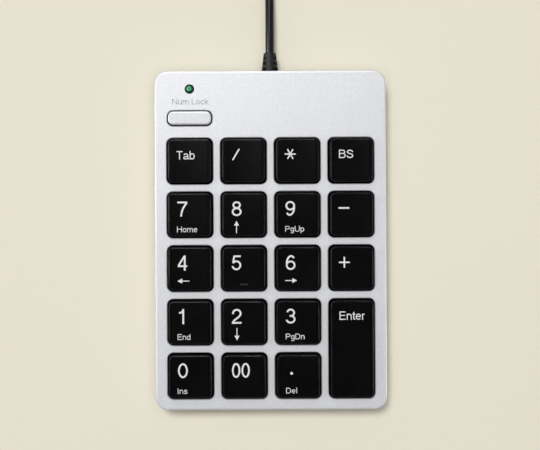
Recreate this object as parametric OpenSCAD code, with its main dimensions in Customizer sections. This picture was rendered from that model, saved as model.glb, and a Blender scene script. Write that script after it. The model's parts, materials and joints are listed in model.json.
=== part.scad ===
// Numeric keypad with a USB cord: nineteen sliding keys, one small lock button and an indicator lamp.
// Millimetres. X runs to the right, Y to the rear (cord side), Z up; the table is z = 0.

/* [Housing] */
// Width of the housing, left to right; the key spacing follows it
body_width = 82; // [78:0.5:90]
// Radius of the housing's upright corners
body_corner = 4.5; // [3.5:0.5:8]
// Height of the housing's top face above the table
body_top = 11; // [10.8:0.1:14]
// Height at which the upper and lower covers meet
seam_height = 4.2; // [3.8:0.1:5]
// Thickness of the upper cover's top wall
cover_roof = 1.8; // [1.4:0.1:2]
// Thickness of the upper cover's side walls
cover_wall = 1.8; // [1.4:0.1:2]
// Thickness of the lower cover's floor
floor_thick = 1.6; // [1.4:0.1:2]
// Rounding of the upper cover's top edge
edge_round = 0.7; // [0.3:0.1:1.2]
// Chamfer round the lower cover's bottom edge
base_chamfer = 0.8; // [0.3:0.1:1.2]
// Thickness of the lip on which the upper cover locates
lip_thick = 0.7; // [0.5:0.1:1]
// Height of that lip above the seam
lip_height = 1; // [0.6:0.1:1.2]

/* [Key layout] */
// Distance from the housing's left and right edges to the outer openings
side_margin = 4.25; // [3.8:0.05:5]
// Distance from the housing's front edge to the front row's openings
front_margin = 3.85; // [3.5:0.05:4.5]
// Distance from the rear row's openings to the housing's rear edge
head_depth = 23.65; // [23:0.05:30]
// Width of the housing's bars between neighbouring openings
key_bar = 2.5; // [2:0.1:3]
// Corner radius of the key openings
opening_corner = 2.2; // [1.5:0.1:3]
// Small bevel round the upper edge of each opening
opening_bevel = 0.25; // [0.1:0.05:0.4]

/* [Keys] */
// Gap between a key and its opening, all round
key_gap = 0.35; // [0.25:0.05:0.6]
// How far the key tops stand above the housing
key_proud = 2.7; // [2.4:0.1:4]
// How far a key goes down
key_travel = 2.2; // [1.5:0.1:2.3]
// Thickness of a key cap's skirt
key_wall = 0.9; // [0.7:0.05:1]
// Thickness of a key cap's top
key_roof = 1.2; // [1:0.1:1.5]
// How far each side of a key cap leans in over its height
key_lean = 0.45; // [0.2:0.05:0.5]
// Bevel round the top of a key cap
key_bevel = 0.4; // [0.2:0.05:0.5]
// Corner radius of a key cap at its foot
key_corner = 1.8; // [1.6:0.1:2.4]
// Depth of the hollow across a key's top
key_dish = 0.25; // [0.1:0.05:0.4]
// Width of the level rim left beside that hollow
dish_rim = 0.6; // [0.3:0.1:1.2]
// Distance from a key's side to the square stem under it
stem_inset = 4.75; // [4.65:0.05:4.9]
// Wall of the hollow stem
stem_wall = 0.9; // [0.7:0.1:1.1]
// Thickness of the crossed ribs inside the stem
stem_rib = 0.9; // [0.6:0.1:1.2]
// How far the snap hooks stand out from the stem
hook_reach = 0.55; // [0.35:0.05:0.7]
// Height of a snap hook
hook_height = 0.8; // [0.6:0.1:0.9]
// Width of a snap hook
hook_width = 2; // [1.5:0.1:2.5]
// Length of the raised bar that marks the middle key
home_bar_length = 2.8; // [2:0.1:4]
// Width of that bar
home_bar_width = 0.5; // [0.4:0.05:0.8]
// Distance of that bar in front of the key's centre
home_bar_forward = 5.6; // [4.5:0.1:5.8]

/* [Key frame] */
// Thickness of the frame plate
frame_thick = 1.4; // [1.2:0.1:1.5]
// Running clearance between a stem and its guide, each side
guide_clear = 0.15; // [0.1:0.05:0.25]
// Wall of the guide chimneys
guide_wall = 0.9; // [0.8:0.1:1.1]
// Clearance of a snap hook in its window
hook_clear = 0.15; // [0.1:0.05:0.25]
// Gap between the inner sheets and the housing's walls
tray_gap = 0.3; // [0.2:0.05:0.5]
// Radius of the posts that hold the frame down
post_radius = 1.5; // [1:0.1:2]

/* [Enter key stabiliser] */
// Diameter of the stabiliser wire
wire_diameter = 1; // [0.8:0.1:1.1]
// Length of the wire's two arms
wire_arm = 6; // [5.6:0.1:6.2]
// Distance of the arms from the key's centre
wire_spread = 12; // [11.6:0.1:13.5]
// Wall of the frame's clips round the wire
clip_wall = 0.9; // [0.7:0.1:1]
// Gap between those clips and the inside of the key's skirt
clip_room = 0.6; // [0.5:0.05:0.8]
// Running clearance round the wire
wire_clear = 0.1; // [0.05:0.05:0.15]
// Distance of the frame's wire clips from the key's centre
clip_spread = 8; // [6.5:0.1:8.6]
// Thickness of the clips and of the key's ears, along the wire
clip_thick = 1.4; // [1:0.1:1.6]

/* [Contact layers] */
// Height of the ribs that carry the steel plate
floor_rib = 0.6; // [0.4:0.1:0.8]
// Width of those ribs
floor_rib_width = 1.2; // [0.8:0.1:2]
// Thickness of the steel plate
steel_thick = 0.5; // [0.4:0.1:0.6]
// Thickness of each of the three contact films
film_thick = 0.1; // [0.1:0.05:0.15]
// Thickness of the rubber dome sheet's web
web_thick = 0.4; // [0.3:0.05:0.5]
// Height of the rubber domes above the web
dome_height = 3.1; // [3:0.1:3.4]
// How far the foot of a rubber dome reaches past its guide's bore
dome_spread = 0.3; // [0:0.05:0.4]
// How much smaller the radius of a dome's flat top is than that of its foot
dome_taper = 1.6; // [1.4:0.1:1.9]
// Wall of the domes
dome_wall = 0.5; // [0.4:0.05:0.6]
// Gap between a dome and what presses it
press_gap = 0.1; // [0.05:0.05:0.3]
// Radius of the contact pads on the films
pad_radius = 2; // [1.5:0.1:2.5]

/* [Lock button and lamp] */
// How much narrower the lock button's opening is than a key's opening
button_narrower = 0.4; // [0.2:0.1:2]
// Depth of the lock button's opening
button_opening_depth = 5.6; // [5.2:0.1:6]
// Distance from the button's centre to the housing's rear edge
button_from_rear = 16.7; // [16.5:0.1:16.9]
// Room between the button and its opening, all round
button_gap = 0.45; // [0.35:0.05:0.5]
// How far the button stands above the housing
button_proud = 0.9; // [0.8:0.1:1.6]
// How far the button goes down
button_travel = 0.8; // [0.5:0.1:0.8]
// Thickness of the flange that keeps the button in
button_flange = 0.8; // [0.6:0.1:0.9]
// How far that flange reaches past the button
flange_reach = 1.05; // [0.8:0.05:1.2]
// Diameter of the indicator lamp
lamp_diameter = 3.2; // [2.8:0.1:3.2]
// Diameter of the lamp's hole
lamp_hole = 3.4; // [3.4:0.1:4]
// How far the lamp stands above the housing
lamp_proud = 0.8; // [0.5:0.1:1]
// Distance from the lamp's centre to the housing's rear edge
lamp_from_rear = 6.4; // [6.3:0.1:6.6]
// Length of the lamp's moulded body
lamp_height = 5.3; // [4.5:0.1:5.5]

/* [Circuit board] */
// Thickness of the circuit board
board_thick = 0.8; // [0.6:0.1:1]
// Gap between the circuit board's ends and the screw wells beside it
board_end_gap = 1.2; // [0.5:0.1:3]
// Depth of the circuit board
board_depth = 6.8; // [6.6:0.1:6.9]
// Length of the controller chip
chip_length = 9; // [7:0.5:11]
// Depth of the controller chip, without its leads
chip_depth = 3.9; // [3.5:0.1:4.2]
// Height of the controller chip
chip_height = 1.5; // [1.2:0.1:1.8]
// Width of the plug-in connector for the cord's cores
header_width = 7.2; // [6.5:0.1:8]
// Gap between that connector and the bar that clamps the film tail
clamp_gap = 3.9; // [2:0.1:5]
// Distance of that bar from the circuit board's end
clamp_end = 1.5; // [1:0.1:3]
// Length of the bar on each side of the film tail
clamp_side = 4; // [3.6:0.1:4.5]
// Radius of the clamp screws' shanks
clamp_screw_radius = 0.8; // [0.6:0.1:0.9]
// Radius of the clamp screws' heads
clamp_screw_head = 1.6; // [1.4:0.1:1.7]
// Height of the clamp screws' heads
clamp_head_height = 1; // [0.8:0.1:1.2]
// Depth of that bar
clamp_depth = 4.4; // [3.6:0.1:4.6]
// Height of that bar
clamp_height = 1.8; // [1.4:0.1:2.4]

/* [Fixings and feet] */
// Distance of the two rear screws from the housing's sides
screw_from_side = 5.5; // [5.2:0.1:6]
// Distance of the two rear screws from its rear edge
screw_from_rear = 6.5; // [6.2:0.1:7]
// Distance of a foot's centre from the housing's side
foot_from_side = 24; // [14:0.5:26]
// Distance of a foot's centre from the inside of the front or rear wall
foot_from_wall = 4.5; // [3.5:0.1:8]
// Outer radius of the screw bosses under the upper cover
boss_radius = 2.2; // [1.8:0.1:2.3]
// Outer radius of the screw wells in the lower cover
well_radius = 3.3; // [3.1:0.1:3.5]
// Height of the wells above the floor
well_height = 2.2; // [2:0.1:2.4]
// Radius of a case screw's shank
screw_radius = 0.95; // [0.8:0.05:1.1]
// Clearance of that shank in its pilot bore
screw_clear = 0.05; // [0.05:0.05:0.1]
// Radius of a case screw's head
screw_head = 1.9; // [1.7:0.1:2]
// Length of a case screw's shank
screw_length = 6; // [5:0.5:6.5]
// Length of a rubber foot
foot_length = 16; // [10:0.5:18]
// Width of a rubber foot
foot_width = 5; // [4:0.1:6]
// How far the feet stand below the housing
foot_proud = 0.8; // [0.6:0.1:1.2]
// Depth of the recess that holds a foot
foot_recess = 0.5; // [0.3:0.1:0.6]

/* [Cord] */
// Diameter of the cord
cord_diameter = 3.1; // [2.8:0.1:3.1]
// Height of the cord's axis where it leaves the housing
cord_height = 5.6; // [5.4:0.1:5.8]
// Diameter of the strain relief next to the housing
relief_foot = 5.8; // [5.2:0.1:6]
// Diameter of the strain relief at its tip
relief_tip = 4.5; // [4:0.1:4.6]
// Length of the strain relief outside the housing
relief_length = 7; // [6:0.1:8]
// Half the width of the strain relief's middle spine
relief_spine = 0.65; // [0.4:0.05:1]
// Share of the strain relief's length that each of its pockets takes
relief_pocket = 0.14; // [0.1:0.01:0.16]
// Diameter of the strain relief's neck in the wall
relief_neck = 4.4; // [4:0.1:4.8]
// Radius of the coil's innermost turn, to the cord's centre
coil_inner = 13; // [12:0.5:13]
// Distance between neighbouring turns, sideways and upwards
coil_step = 3.55; // [3.55:0.05:3.8]
// Thickness of the tie round the coil
tie_thick = 0.4; // [0.3:0.05:0.6]
// Width of the tie
tie_width = 2.4; // [1.5:0.1:3]
// Length of the tie's two free ends
tie_end = 5; // [3:0.5:6]

/* [Plug] */
// Length of the plug's two short contacts
contact_length = 6.4; // [5.5:0.1:7]
// How much longer its two outer contacts are
contact_extra = 1; // [0.5:0.1:1.2]
// Distance between the plug's two middle contacts
contact_middle = 2; // [1.8:0.1:2.2]
// Distance from a middle contact to the outer one beside it
contact_outer = 2.5; // [2.3:0.1:2.7]
// Width of the plug's metal shell
shell_width = 12; // [11.8:0.1:12.2]
// Height of the shell
shell_height = 4.5; // [4.4:0.05:4.6]
// Length of the shell outside the grip
shell_length = 11.7; // [11:0.1:12]
// Sheet thickness of the shell
shell_wall = 0.3; // [0.25:0.05:0.4]
// Width of the moulded grip
grip_width = 15.4; // [14:0.2:17]
// Height of the moulded grip
grip_height = 7.8; // [7:0.1:7.8]
// Length of the moulded grip
grip_length = 20; // [18:0.5:20]
// Length of the grip's tapered tail
grip_tail = 9; // [7:0.5:9]

/* [Hidden] */
$fn = 48;

// A little extra for cuts that pass right through.
through = 0.5;
// Depth by which fused pieces run into each other.
bond = 0.3;
// Gap between parts that lie close but don't touch.
small_gap = 0.1;
// Clear space left under a part at the end of its travel.
end_gap = 0.3;

black = [0.07, 0.07, 0.08];
silver = [0.82, 0.83, 0.85];

// Levels, from the table up.
floor_foot = foot_proud;
floor_top = floor_foot + floor_thick;
steel_foot = floor_top + floor_rib;
steel_top = steel_foot + steel_thick;
film_level = [for (i = [0:3]) steel_top + i * film_thick];
web_top = film_level[3] + web_thick;
frame_top = web_top + frame_thick;
dome_top = web_top + dome_height;
stem_foot = dome_top + press_gap;
skirt_foot = frame_top + key_travel + end_gap;
key_top = body_top + key_proud;
key_under = key_top - key_roof;
guide_top = key_under - key_travel - end_gap - small_gap;
cover_under = body_top - cover_roof;

// Plan of the housing: four columns of openings and five rows share one spacing.
key_pitch = (body_width - 2 * side_margin + key_bar) / 4;
key_opening = key_pitch - key_bar;
body_depth = front_margin + 5 * key_pitch - key_bar + head_depth;
button_opening = key_opening - button_narrower;
base_wall = cover_wall + small_gap + lip_thick;
inner_width = body_width - 2 * base_wall;
inner_depth = body_depth - 2 * base_wall;
rear = body_depth / 2;
front = -body_depth / 2;
sheet_width = inner_width - 2 * tray_gap;
sheet_corner = body_corner - base_wall;
button_y = rear - button_from_rear;
sheet_rear = button_y + 4.8;
sheet_front = front + base_wall + tray_gap;
sheet_depth = sheet_rear - sheet_front;
sheet_middle = (sheet_rear + sheet_front) / 2;

// Key centres: columns from the left, rows from the rear.
function column(i) = (i - 1.5) * key_pitch;
function row(i) = front + front_margin + key_opening / 2 + (4 - i) * key_pitch;
single_keys = concat(
    [for (r = [0:4], c = [0:2]) [column(c), row(r)]],
    [for (r = [0:2]) [column(3), row(r)]]
);
enter_at = [column(3), (row(3) + row(4)) / 2];
button_at = [column(0), button_y];
lamp_at = [column(0), rear - lamp_from_rear];
key_side = key_opening - 2 * key_gap;
enter_length = key_side + key_pitch;
stem_width = key_side - 2 * stem_inset;

// Guides, hooks and their windows.
guide_inner = stem_width + 2 * guide_clear;
guide_outer = guide_inner + 2 * guide_wall;
window_top = guide_top - guide_wall;
hook_top = window_top - hook_clear;
hook_foot = hook_top - hook_height;
window_foot = hook_foot - key_travel - hook_clear;
dome_radius = guide_inner / 2 + dome_spread;
dome_crown = dome_radius - dome_taper;
dome_hole = dome_radius + end_gap;

// Enter key stabiliser: the wire tilts by the same angle above and below level.
wire_radius = wire_diameter / 2;
wire_bore = wire_radius + wire_clear;
// Distance of the wire's long rod from the key's centre line.
wire_offset = key_side / 2 - key_wall - clip_room - clip_wall - wire_bore;
wire_tilt = asin(key_travel / 2 / wire_arm);
wire_level = skirt_foot - end_gap + key_travel / 2 - key_travel + wire_bore + 0.9 - wire_clear;
wire_bend = 1.2 * wire_diameter;
ear_x = wire_offset - wire_arm * (1 + cos(wire_tilt)) / 2;
ear_play = wire_arm * (1 - cos(wire_tilt));
ear_y = wire_spread - wire_radius - end_gap - clip_thick / 2;

// Screws: two beside the circuit board, two between the middle rows, one near the front.
screw_places = [
    [screw_from_side - body_width / 2, rear - screw_from_rear],
    [body_width / 2 - screw_from_side, rear - screw_from_rear],
    [-key_pitch, (row(1) + row(2)) / 2],
    [key_pitch, (row(1) + row(2)) / 2],
    [0, (row(3) + row(4)) / 2]
];
post_places = [
    [-key_pitch, (row(0) + row(1)) / 2],
    [0, (row(0) + row(1)) / 2],
    [key_pitch, (row(0) + row(1)) / 2],
    [-key_pitch, (row(2) + row(3)) / 2],
    [0, (row(2) + row(3)) / 2],
    [-key_pitch, (row(3) + row(4)) / 2]
];
well_top = floor_top + well_height;
head_height = 1.3;
seat_level = well_top - 1.4;
foot_places = [
    for (x = [-1, 1], y = [-1, 1])
        [x * (body_width / 2 - foot_from_side), y * (body_depth / 2 - base_wall - foot_from_wall)]
];

// Circuit board and what stands on it.
board_foot = steel_top - board_thick;
board_front = sheet_rear + 0.5;
board_y = board_front + board_depth / 2;
board_length = body_width - 2 * (screw_from_side + well_radius + board_end_gap);
clamp_length = (board_length - header_width) / 2 - clamp_gap - clamp_end;
clamp_at = [(board_length - clamp_length) / 2 - clamp_end, board_front + board_depth / 2];
tail_width = clamp_length - 2 * clamp_side;
clamp_screw_x = clamp_length / 2 - clamp_screw_head - 2 * small_gap;
header_height = 3.5;
header_rear = board_front + 4.2;
wire_pitch = 1.2;

// The cord's route by hand-chosen points, in millimetres, starting at the strain relief's tip.
lead_route = [
    [0, 0, 5.6], [0, 4, 5.6], [0, 9, 5.3], [0, 14, 4.7], [0, 18, 4], [0, 22, 3.2], [0.4, 27, 2.3],
    [1.7, 32, 1.8], [4, 37, 1.6], [6.3, 42, 1.6], [7.6, 47, 1.6], [8, 52, 1.6], [8, 57.5, 1.7],
    [8, 62.9, 2.1]
];
tail_route = [
    [0, 0, 12.7], [0, 4, 12.5], [0, 7, 12], [0.9, 11.5, 10.8], [3.5, 15.4, 9.1], [7.4, 18, 7.2],
    [12, 18.9, 5.3], [16.6, 18, 3.6], [20.5, 15.4, 2.4], [23.1, 11.5, 1.8], [24, 7, 2],
    [24, 3.5, 3], [24, 1, 3.7], [24, -2, 4]
];
coil_layers = 4;
coil_layer_loops = 2.5;
rings_per_loop = 24;
cord_start = rear + relief_length;
cord_radius = cord_diameter / 2;
coil_floor = tie_thick + small_gap + cord_radius;
coil_outer = coil_inner + coil_step * coil_layer_loops;
coil_loops = coil_layers * coil_layer_loops;
coil_top = coil_floor + coil_step * (coil_layers - 1);
lead_end = lead_route[len(lead_route) - 1];
coil_entry = [lead_end[0], cord_start + lead_end[1], coil_floor];
coil_centre = [coil_entry[0] - coil_outer, coil_entry[1] + cord_diameter];
coil_exit = [coil_entry[0], coil_centre[1] + cord_diameter, coil_top];
tail_end = tail_route[len(tail_route) - 1];
plug_at = [coil_exit[0] + tail_end[0], coil_exit[1] + tail_end[1], tail_end[2]];

// ---------- shapes used more than once ----------

// A rectangle with round corners.
module rounded_outline(w, d, r) {
    square([w, d - 2 * r], center = true);
    square([w - 2 * r, d], center = true);
    for (x = [-1, 1], y = [-1, 1])
        translate([x * (w / 2 - r), y * (d / 2 - r)])
            circle(r = r);
}

// An upright block with that outline, between two levels.
module slab(w, d, r, low, high) {
    translate([0, 0, low])
        linear_extrude(height = high - low)
            rounded_outline(w, d, r);
}

// A block with round corners whose sides follow a profile of [inset, level] steps.
module profiled_block(w, d, r, steps) {
    n = len(steps);
    module across(half, span) {
        rotate([90, 0, 0])
            linear_extrude(height = span, center = true)
                polygon(concat(
                    [for (s = steps) [half - s[0], s[1]]],
                    [for (i = [n - 1:-1:0]) [steps[i][0] - half, steps[i][1]]]
                ));
    }
    across(w / 2, d - 2 * r);
    rotate([0, 0, 90])
        across(d / 2, w - 2 * r);
    for (x = [-1, 1], y = [-1, 1])
        translate([x * (w / 2 - r), y * (d / 2 - r), 0])
            rotate_extrude()
                polygon(concat(
                    [[0, steps[0][1]]],
                    [for (s = steps) [r - s[0], s[1]]],
                    [[0, steps[n - 1][1]]]
                ));
}

// A straight round bar between two heights.
module rod(r, low, high) {
    translate([0, 0, low])
        cylinder(r = r, h = high - low);
}

module at(places) {
    for (p = places)
        translate([p[0], p[1], 0])
            children();
}

// ---------- housing ----------

function round_edge(r, top) = [for (a = [0, 22.5, 45, 67.5, 90]) [r * (1 - cos(a)), top - r + r * sin(a)]];

module cord_notch(upper) {
    translate([0, rear + through, cord_height])
        rotate([90, 0, 0])
            cylinder(r = relief_neck / 2 + small_gap, h = base_wall + 2 * through);
    if (upper)
        translate([-relief_neck / 2 - small_gap, rear - base_wall - through, seam_height - through])
            cube([relief_neck + 2 * small_gap, base_wall + 2 * through, cord_height - seam_height + through]);
}

// One opening in the upper cover, with its bevelled upper edge.
module opening(w, d, r) {
    profiled_block(w, d, r, [
        [0, cover_under - through],
        [0, body_top - opening_bevel],
        [-opening_bevel - small_gap, body_top + small_gap]
    ]);
}

module top_cover() {
    color(silver)
    difference() {
        union() {
            difference() {
                profiled_block(body_width, body_depth, body_corner,
                    concat([[0, seam_height]], round_edge(edge_round, body_top)));
                slab(body_width - 2 * cover_wall, body_depth - 2 * cover_wall, body_corner - cover_wall,
                    seam_height - through, cover_under);
            }
            at(screw_places)
                rod(boss_radius, well_top, cover_under + bond);
            at(post_places)
                rod(post_radius, frame_top, cover_under + bond);
        }
        at(screw_places)
            rod(screw_radius + screw_clear, well_top - through, body_top - 1);
        at(single_keys)
            opening(key_opening, key_opening, opening_corner);
        at([enter_at])
            opening(key_opening, key_opening + key_pitch, opening_corner);
        at([button_at])
            opening(button_opening, button_opening_depth, opening_corner);
        at([lamp_at])
            rod(lamp_hole / 2, cover_under - through, body_top + through);
        cord_notch(true);
    }
}

module foot_shape(low, high, grow) {
    slab(foot_length + 2 * grow, foot_width + 2 * grow, foot_width / 2 + grow - 0.01, low, high);
}

module bottom_cover() {
    color(black)
    difference() {
        union() {
            difference() {
                profiled_block(body_width, body_depth, body_corner, [
                    [base_chamfer, floor_foot],
                    [base_chamfer * 0.3, floor_foot + base_chamfer * 0.4],
                    [0, floor_foot + base_chamfer],
                    [0, seam_height]
                ]);
                slab(inner_width, inner_depth, sheet_corner, floor_top, seam_height + through);
            }
            difference() {
                slab(inner_width + 2 * lip_thick, inner_depth + 2 * lip_thick, sheet_corner + lip_thick,
                    seam_height - bond, seam_height + lip_height);
                slab(inner_width, inner_depth, sheet_corner, floor_top, seam_height + lip_height + through);
            }
            at(screw_places)
                rod(well_radius, floor_foot + bond, well_top);
            for (x = [-2:2])
                translate([x * key_pitch * 0.8 - floor_rib_width / 2, sheet_front, floor_top - bond])
                    cube([floor_rib_width, sheet_depth, floor_rib + bond]);
            for (x = [-0.42, -0.13, 0.065, 0.42])
                translate([x * board_length - floor_rib_width / 2, board_front, floor_top - bond])
                    cube([floor_rib_width, board_depth, board_foot - floor_top + bond]);
            at([clamp_at])
                for (x = [-1, 1])
                    translate([x * clamp_screw_x, 0, 0])
                        rod(clamp_screw_head, floor_top - bond, board_foot);
        }
        at(screw_places) {
            rod(screw_head + end_gap, floor_foot - through, seat_level);
            rod(screw_radius + 0.25, floor_foot, well_top + through);
        }
        at([clamp_at])
            for (x = [-1, 1])
                translate([x * clamp_screw_x, 0, 0])
                    rod(clamp_screw_radius + screw_clear, floor_foot + 0.4, board_foot + through);
        at(foot_places)
            foot_shape(floor_foot - through, floor_foot + foot_recess, small_gap);
        cord_notch(false);
    }
}

module case_screws() {
    color("dimgray")
    at(screw_places)
        difference() {
            union() {
                rod(screw_radius, seat_level - bond, seat_level + screw_length);
                translate([0, 0, seat_level - head_height])
                    cylinder(r1 = screw_head - 0.25, r2 = screw_head, h = 0.35);
                rod(screw_head, seat_level - head_height + 0.35, seat_level);
            }
            for (a = [0, 90])
                rotate([0, 0, a])
                    translate([-1.1, -0.25, seat_level - head_height - through])
                        cube([2.2, 0.5, through + 0.6]);
        }
}

module rubber_feet() {
    color([0.12, 0.12, 0.12])
    at(foot_places)
        foot_shape(0, floor_foot + foot_recess, 0);
}

// ---------- contact layers ----------

// Holes that let the screw wells and bosses through a sheet.
module well_holes(low, high) {
    at(screw_places)
        rod(well_radius + end_gap, low - through, high + through);
}

module sheet(low, high) {
    translate([0, sheet_middle, 0])
        slab(sheet_width, sheet_depth, sheet_corner, low, high);
}

module steel_plate() {
    color([0.62, 0.63, 0.65])
    difference() {
        sheet(steel_foot, steel_top);
        well_holes(steel_foot, steel_top);
    }
}

module film_lower() {
    color([0.75, 0.83, 0.86])
    difference() {
        union() {
            sheet(film_level[0], film_level[1]);
            translate([clamp_at[0] - tail_width / 2, sheet_rear - 4, film_level[0]])
                cube([tail_width, board_front + board_depth - sheet_rear + 3, film_thick]);
        }
        well_holes(film_level[0], film_level[1]);
    }
}

module film_spacer() {
    color([0.85, 0.88, 0.86])
    difference() {
        sheet(film_level[1], film_level[2]);
        well_holes(film_level[1], film_level[2]);
        at(concat(single_keys, [enter_at, button_at]))
            rod(pad_radius, film_level[1] - through, film_level[2] + through);
    }
}

module film_upper() {
    color([0.78, 0.86, 0.82])
    difference() {
        sheet(film_level[2], film_level[3]);
        well_holes(film_level[2], film_level[3]);
    }
}

// Outline of a dome, and of the hollow under it with its small press pip.
module dome_outside() {
    low = film_level[3];
    rotate_extrude()
        polygon([
            [0, low], [dome_radius, low], [dome_radius, web_top],
            [dome_radius - 0.7, web_top + 0.42 * dome_height],
            [dome_crown + 0.3, web_top + 0.84 * dome_height],
            [dome_crown, dome_top], [0, dome_top]
        ]);
}

module dome_hollow() {
    low = film_level[3] - through;
    roof = dome_top - 1.2;
    pip = (dome_crown + 0.3 - dome_wall) / 2;
    rotate_extrude()
        polygon([
            [0, low], [dome_radius - dome_wall, low], [dome_radius - dome_wall, web_top],
            [dome_radius - 0.7 - dome_wall, web_top + 0.42 * dome_height],
            [dome_crown + 0.3 - dome_wall, roof],
            [pip, roof], [pip - small_gap, web_top + 0.9], [0, web_top + 0.9]
        ]);
}

module dome_sheet() {
    color([0.8, 0.79, 0.76])
    difference() {
        union() {
            sheet(film_level[3], web_top);
            at(concat(single_keys, [enter_at, button_at]))
                dome_outside();
        }
        well_holes(film_level[3], web_top);
        at(concat(single_keys, [enter_at, button_at]))
            dome_hollow();
    }
}

// ---------- key frame ----------

// A chimney in which a stem slides, with a window each side for its hooks.
module guide() {
    difference() {
        slab(guide_outer, guide_outer, 0.8, frame_top - bond, guide_top);
        slab(guide_inner, guide_inner, 0.4, frame_top - bond - through, guide_top + through);
        translate([-guide_outer / 2 - through, -hook_width / 2 - 0.2, window_foot])
            cube([guide_outer + 2 * through, hook_width + 0.4, window_top - window_foot]);
    }
}

// A clip that holds the stabiliser wire and lets it turn.
module wire_clip() {
    difference() {
        translate([-wire_bore - clip_wall, -clip_thick / 2, frame_top - bond])
            cube([2 * (wire_bore + clip_wall), clip_thick, wire_level + wire_bore + 0.8 - frame_top + bond]);
        translate([0, clip_thick, wire_level])
            rotate([90, 0, 0])
                cylinder(r = wire_bore, h = 2 * clip_thick);
        translate([-wire_radius * 0.8, -clip_thick, wire_level])
            cube([wire_radius * 1.6, 2 * clip_thick, 3]);
    }
}

module key_frame() {
    color([0.1, 0.1, 0.11])
    union() {
        difference() {
            sheet(web_top, frame_top);
            well_holes(web_top, frame_top);
            at(concat(single_keys, [enter_at, button_at]))
                rod(dome_hole, web_top - through, frame_top + through);
            at(concat(single_keys, [enter_at]))
                slab(guide_inner, guide_inner, 0.4, web_top - through, frame_top + through);
        }
        at(concat(single_keys, [enter_at]))
            guide();
        at([button_at])
            difference() {
                rod(dome_hole + guide_wall, frame_top - bond, frame_top + 0.8);
                rod(dome_hole, web_top - through, frame_top + through + 0.8);
            }
        at([enter_at])
            for (y = [-1, 1])
                translate([wire_offset, y * clip_spread, 0])
                    wire_clip();
    }
}

// ---------- circuit board ----------

module circuit_board() {
    color([0.1, 0.35, 0.18])
    difference() {
        translate([0, board_y, 0])
            slab(board_length, board_depth, 0.6, board_foot, steel_top);
        at([clamp_at])
            for (x = [-1, 1])
                translate([x * clamp_screw_x, 0, 0])
                    rod(clamp_screw_radius + 0.2, board_foot - through, steel_top + through);
    }
}

module controller_chip() {
    color([0.13, 0.13, 0.14])
    translate([1.5 - board_length / 4, board_y, steel_top]) {
        translate([-chip_length / 2, -chip_depth / 2, 0.1])
            cube([chip_length, chip_depth, chip_height]);
        for (i = [0:6], y = [-1, 1])
            translate([(i - 3) * (chip_length - 1.2) / 6 - 0.2, y * (chip_depth / 2 + 0.3) - 0.4, 0])
                cube([0.4, 0.8, 0.5]);
    }
}

module wire_header() {
    color([0.9, 0.89, 0.84])
    difference() {
        translate([-header_width / 2, header_rear - 3.4, steel_top])
            cube([header_width, 3.4, header_height]);
        translate([0.5 - header_width / 2, header_rear - 2.4, steel_top + header_height - 0.8])
            cube([header_width - 1, 1.6, 0.8 + through]);
    }
}

module inner_wires() {
    tints = ["red", "white", "green", "black"];
    for (i = [0:3])
        color(tints[i])
        translate([(i - 1.5) * wire_pitch, rear - base_wall - 1.6, steel_top + header_height * 0.55])
            rotate([90, 0, 0])
                cylinder(r = 0.4, h = rear - base_wall - 1.6 - header_rear);
}

module tail_clamp() {
    color([0.2, 0.2, 0.21])
    translate([clamp_at[0], clamp_at[1], 0])
        difference() {
            slab(clamp_length, clamp_depth, 0.8, film_level[1], film_level[1] + clamp_height);
            for (x = [-1, 1])
                translate([x * clamp_screw_x, 0, 0])
                    rod(clamp_screw_radius + 0.2, film_level[1] - through, film_level[1] + clamp_height + through);
        }
}

module clamp_screws() {
    color("silver")
    at([clamp_at])
        for (x = [-1, 1])
            translate([x * clamp_screw_x, 0, film_level[1] + clamp_height])
                difference() {
                    union() {
                        cylinder(r = clamp_screw_head, h = clamp_head_height);
                        rod(clamp_screw_radius, floor_foot + 0.5 - film_level[1] - clamp_height, bond);
                    }
                    for (a = [0, 90])
                        rotate([0, 0, a])
                            translate([-clamp_screw_radius - small_gap, -0.2, clamp_head_height / 2])
                                cube([2 * (clamp_screw_radius + small_gap), 0.4, clamp_head_height]);
                }
}

module indicator_lamp() {
    lamp_top = body_top + lamp_proud;
    lamp_foot = lamp_top - lamp_height;
    color([0.35, 0.75, 0.5])
    translate([lamp_at[0], lamp_at[1], 0]) {
        rod(lamp_diameter / 2, lamp_foot, lamp_top - lamp_diameter / 2);
        translate([0, 0, lamp_top - lamp_diameter / 2])
            sphere(r = lamp_diameter / 2);
        rod(lamp_diameter / 2 + 0.3, lamp_foot, lamp_foot + 1);
        for (x = [-1, 1])
            translate([x * 1.27 - 0.25, -0.25, steel_top])
                cube([0.5, 0.5, lamp_foot + bond - steel_top]);
    }
}

// ---------- lock button ----------

module lock_button() {
    w = button_opening - 2 * button_gap;
    d = button_opening_depth - 2 * button_gap;
    r = opening_corner - button_gap;
    top = body_top + button_proud;
    flange_top = cover_under - small_gap;
    color(silver)
    translate([button_at[0], button_at[1], 0]) {
        profiled_block(w, d, r, [[0, flange_top - bond], [0, top - 0.4], [0.12, top - 0.12], [0.4, top]]);
        slab(w + 2 * flange_reach, d + 2 * flange_reach, r, flange_top - button_flange, flange_top);
        rod(dome_crown, stem_foot, flange_top - bond);
        for (x = [-1, 1])
            translate([x * (w / 2 - 1.2) - 0.4, -d / 2, flange_top - button_flange - 0.5])
                cube([0.8, d, 0.5 + bond]);
    }
}

// ---------- keys ----------

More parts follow.
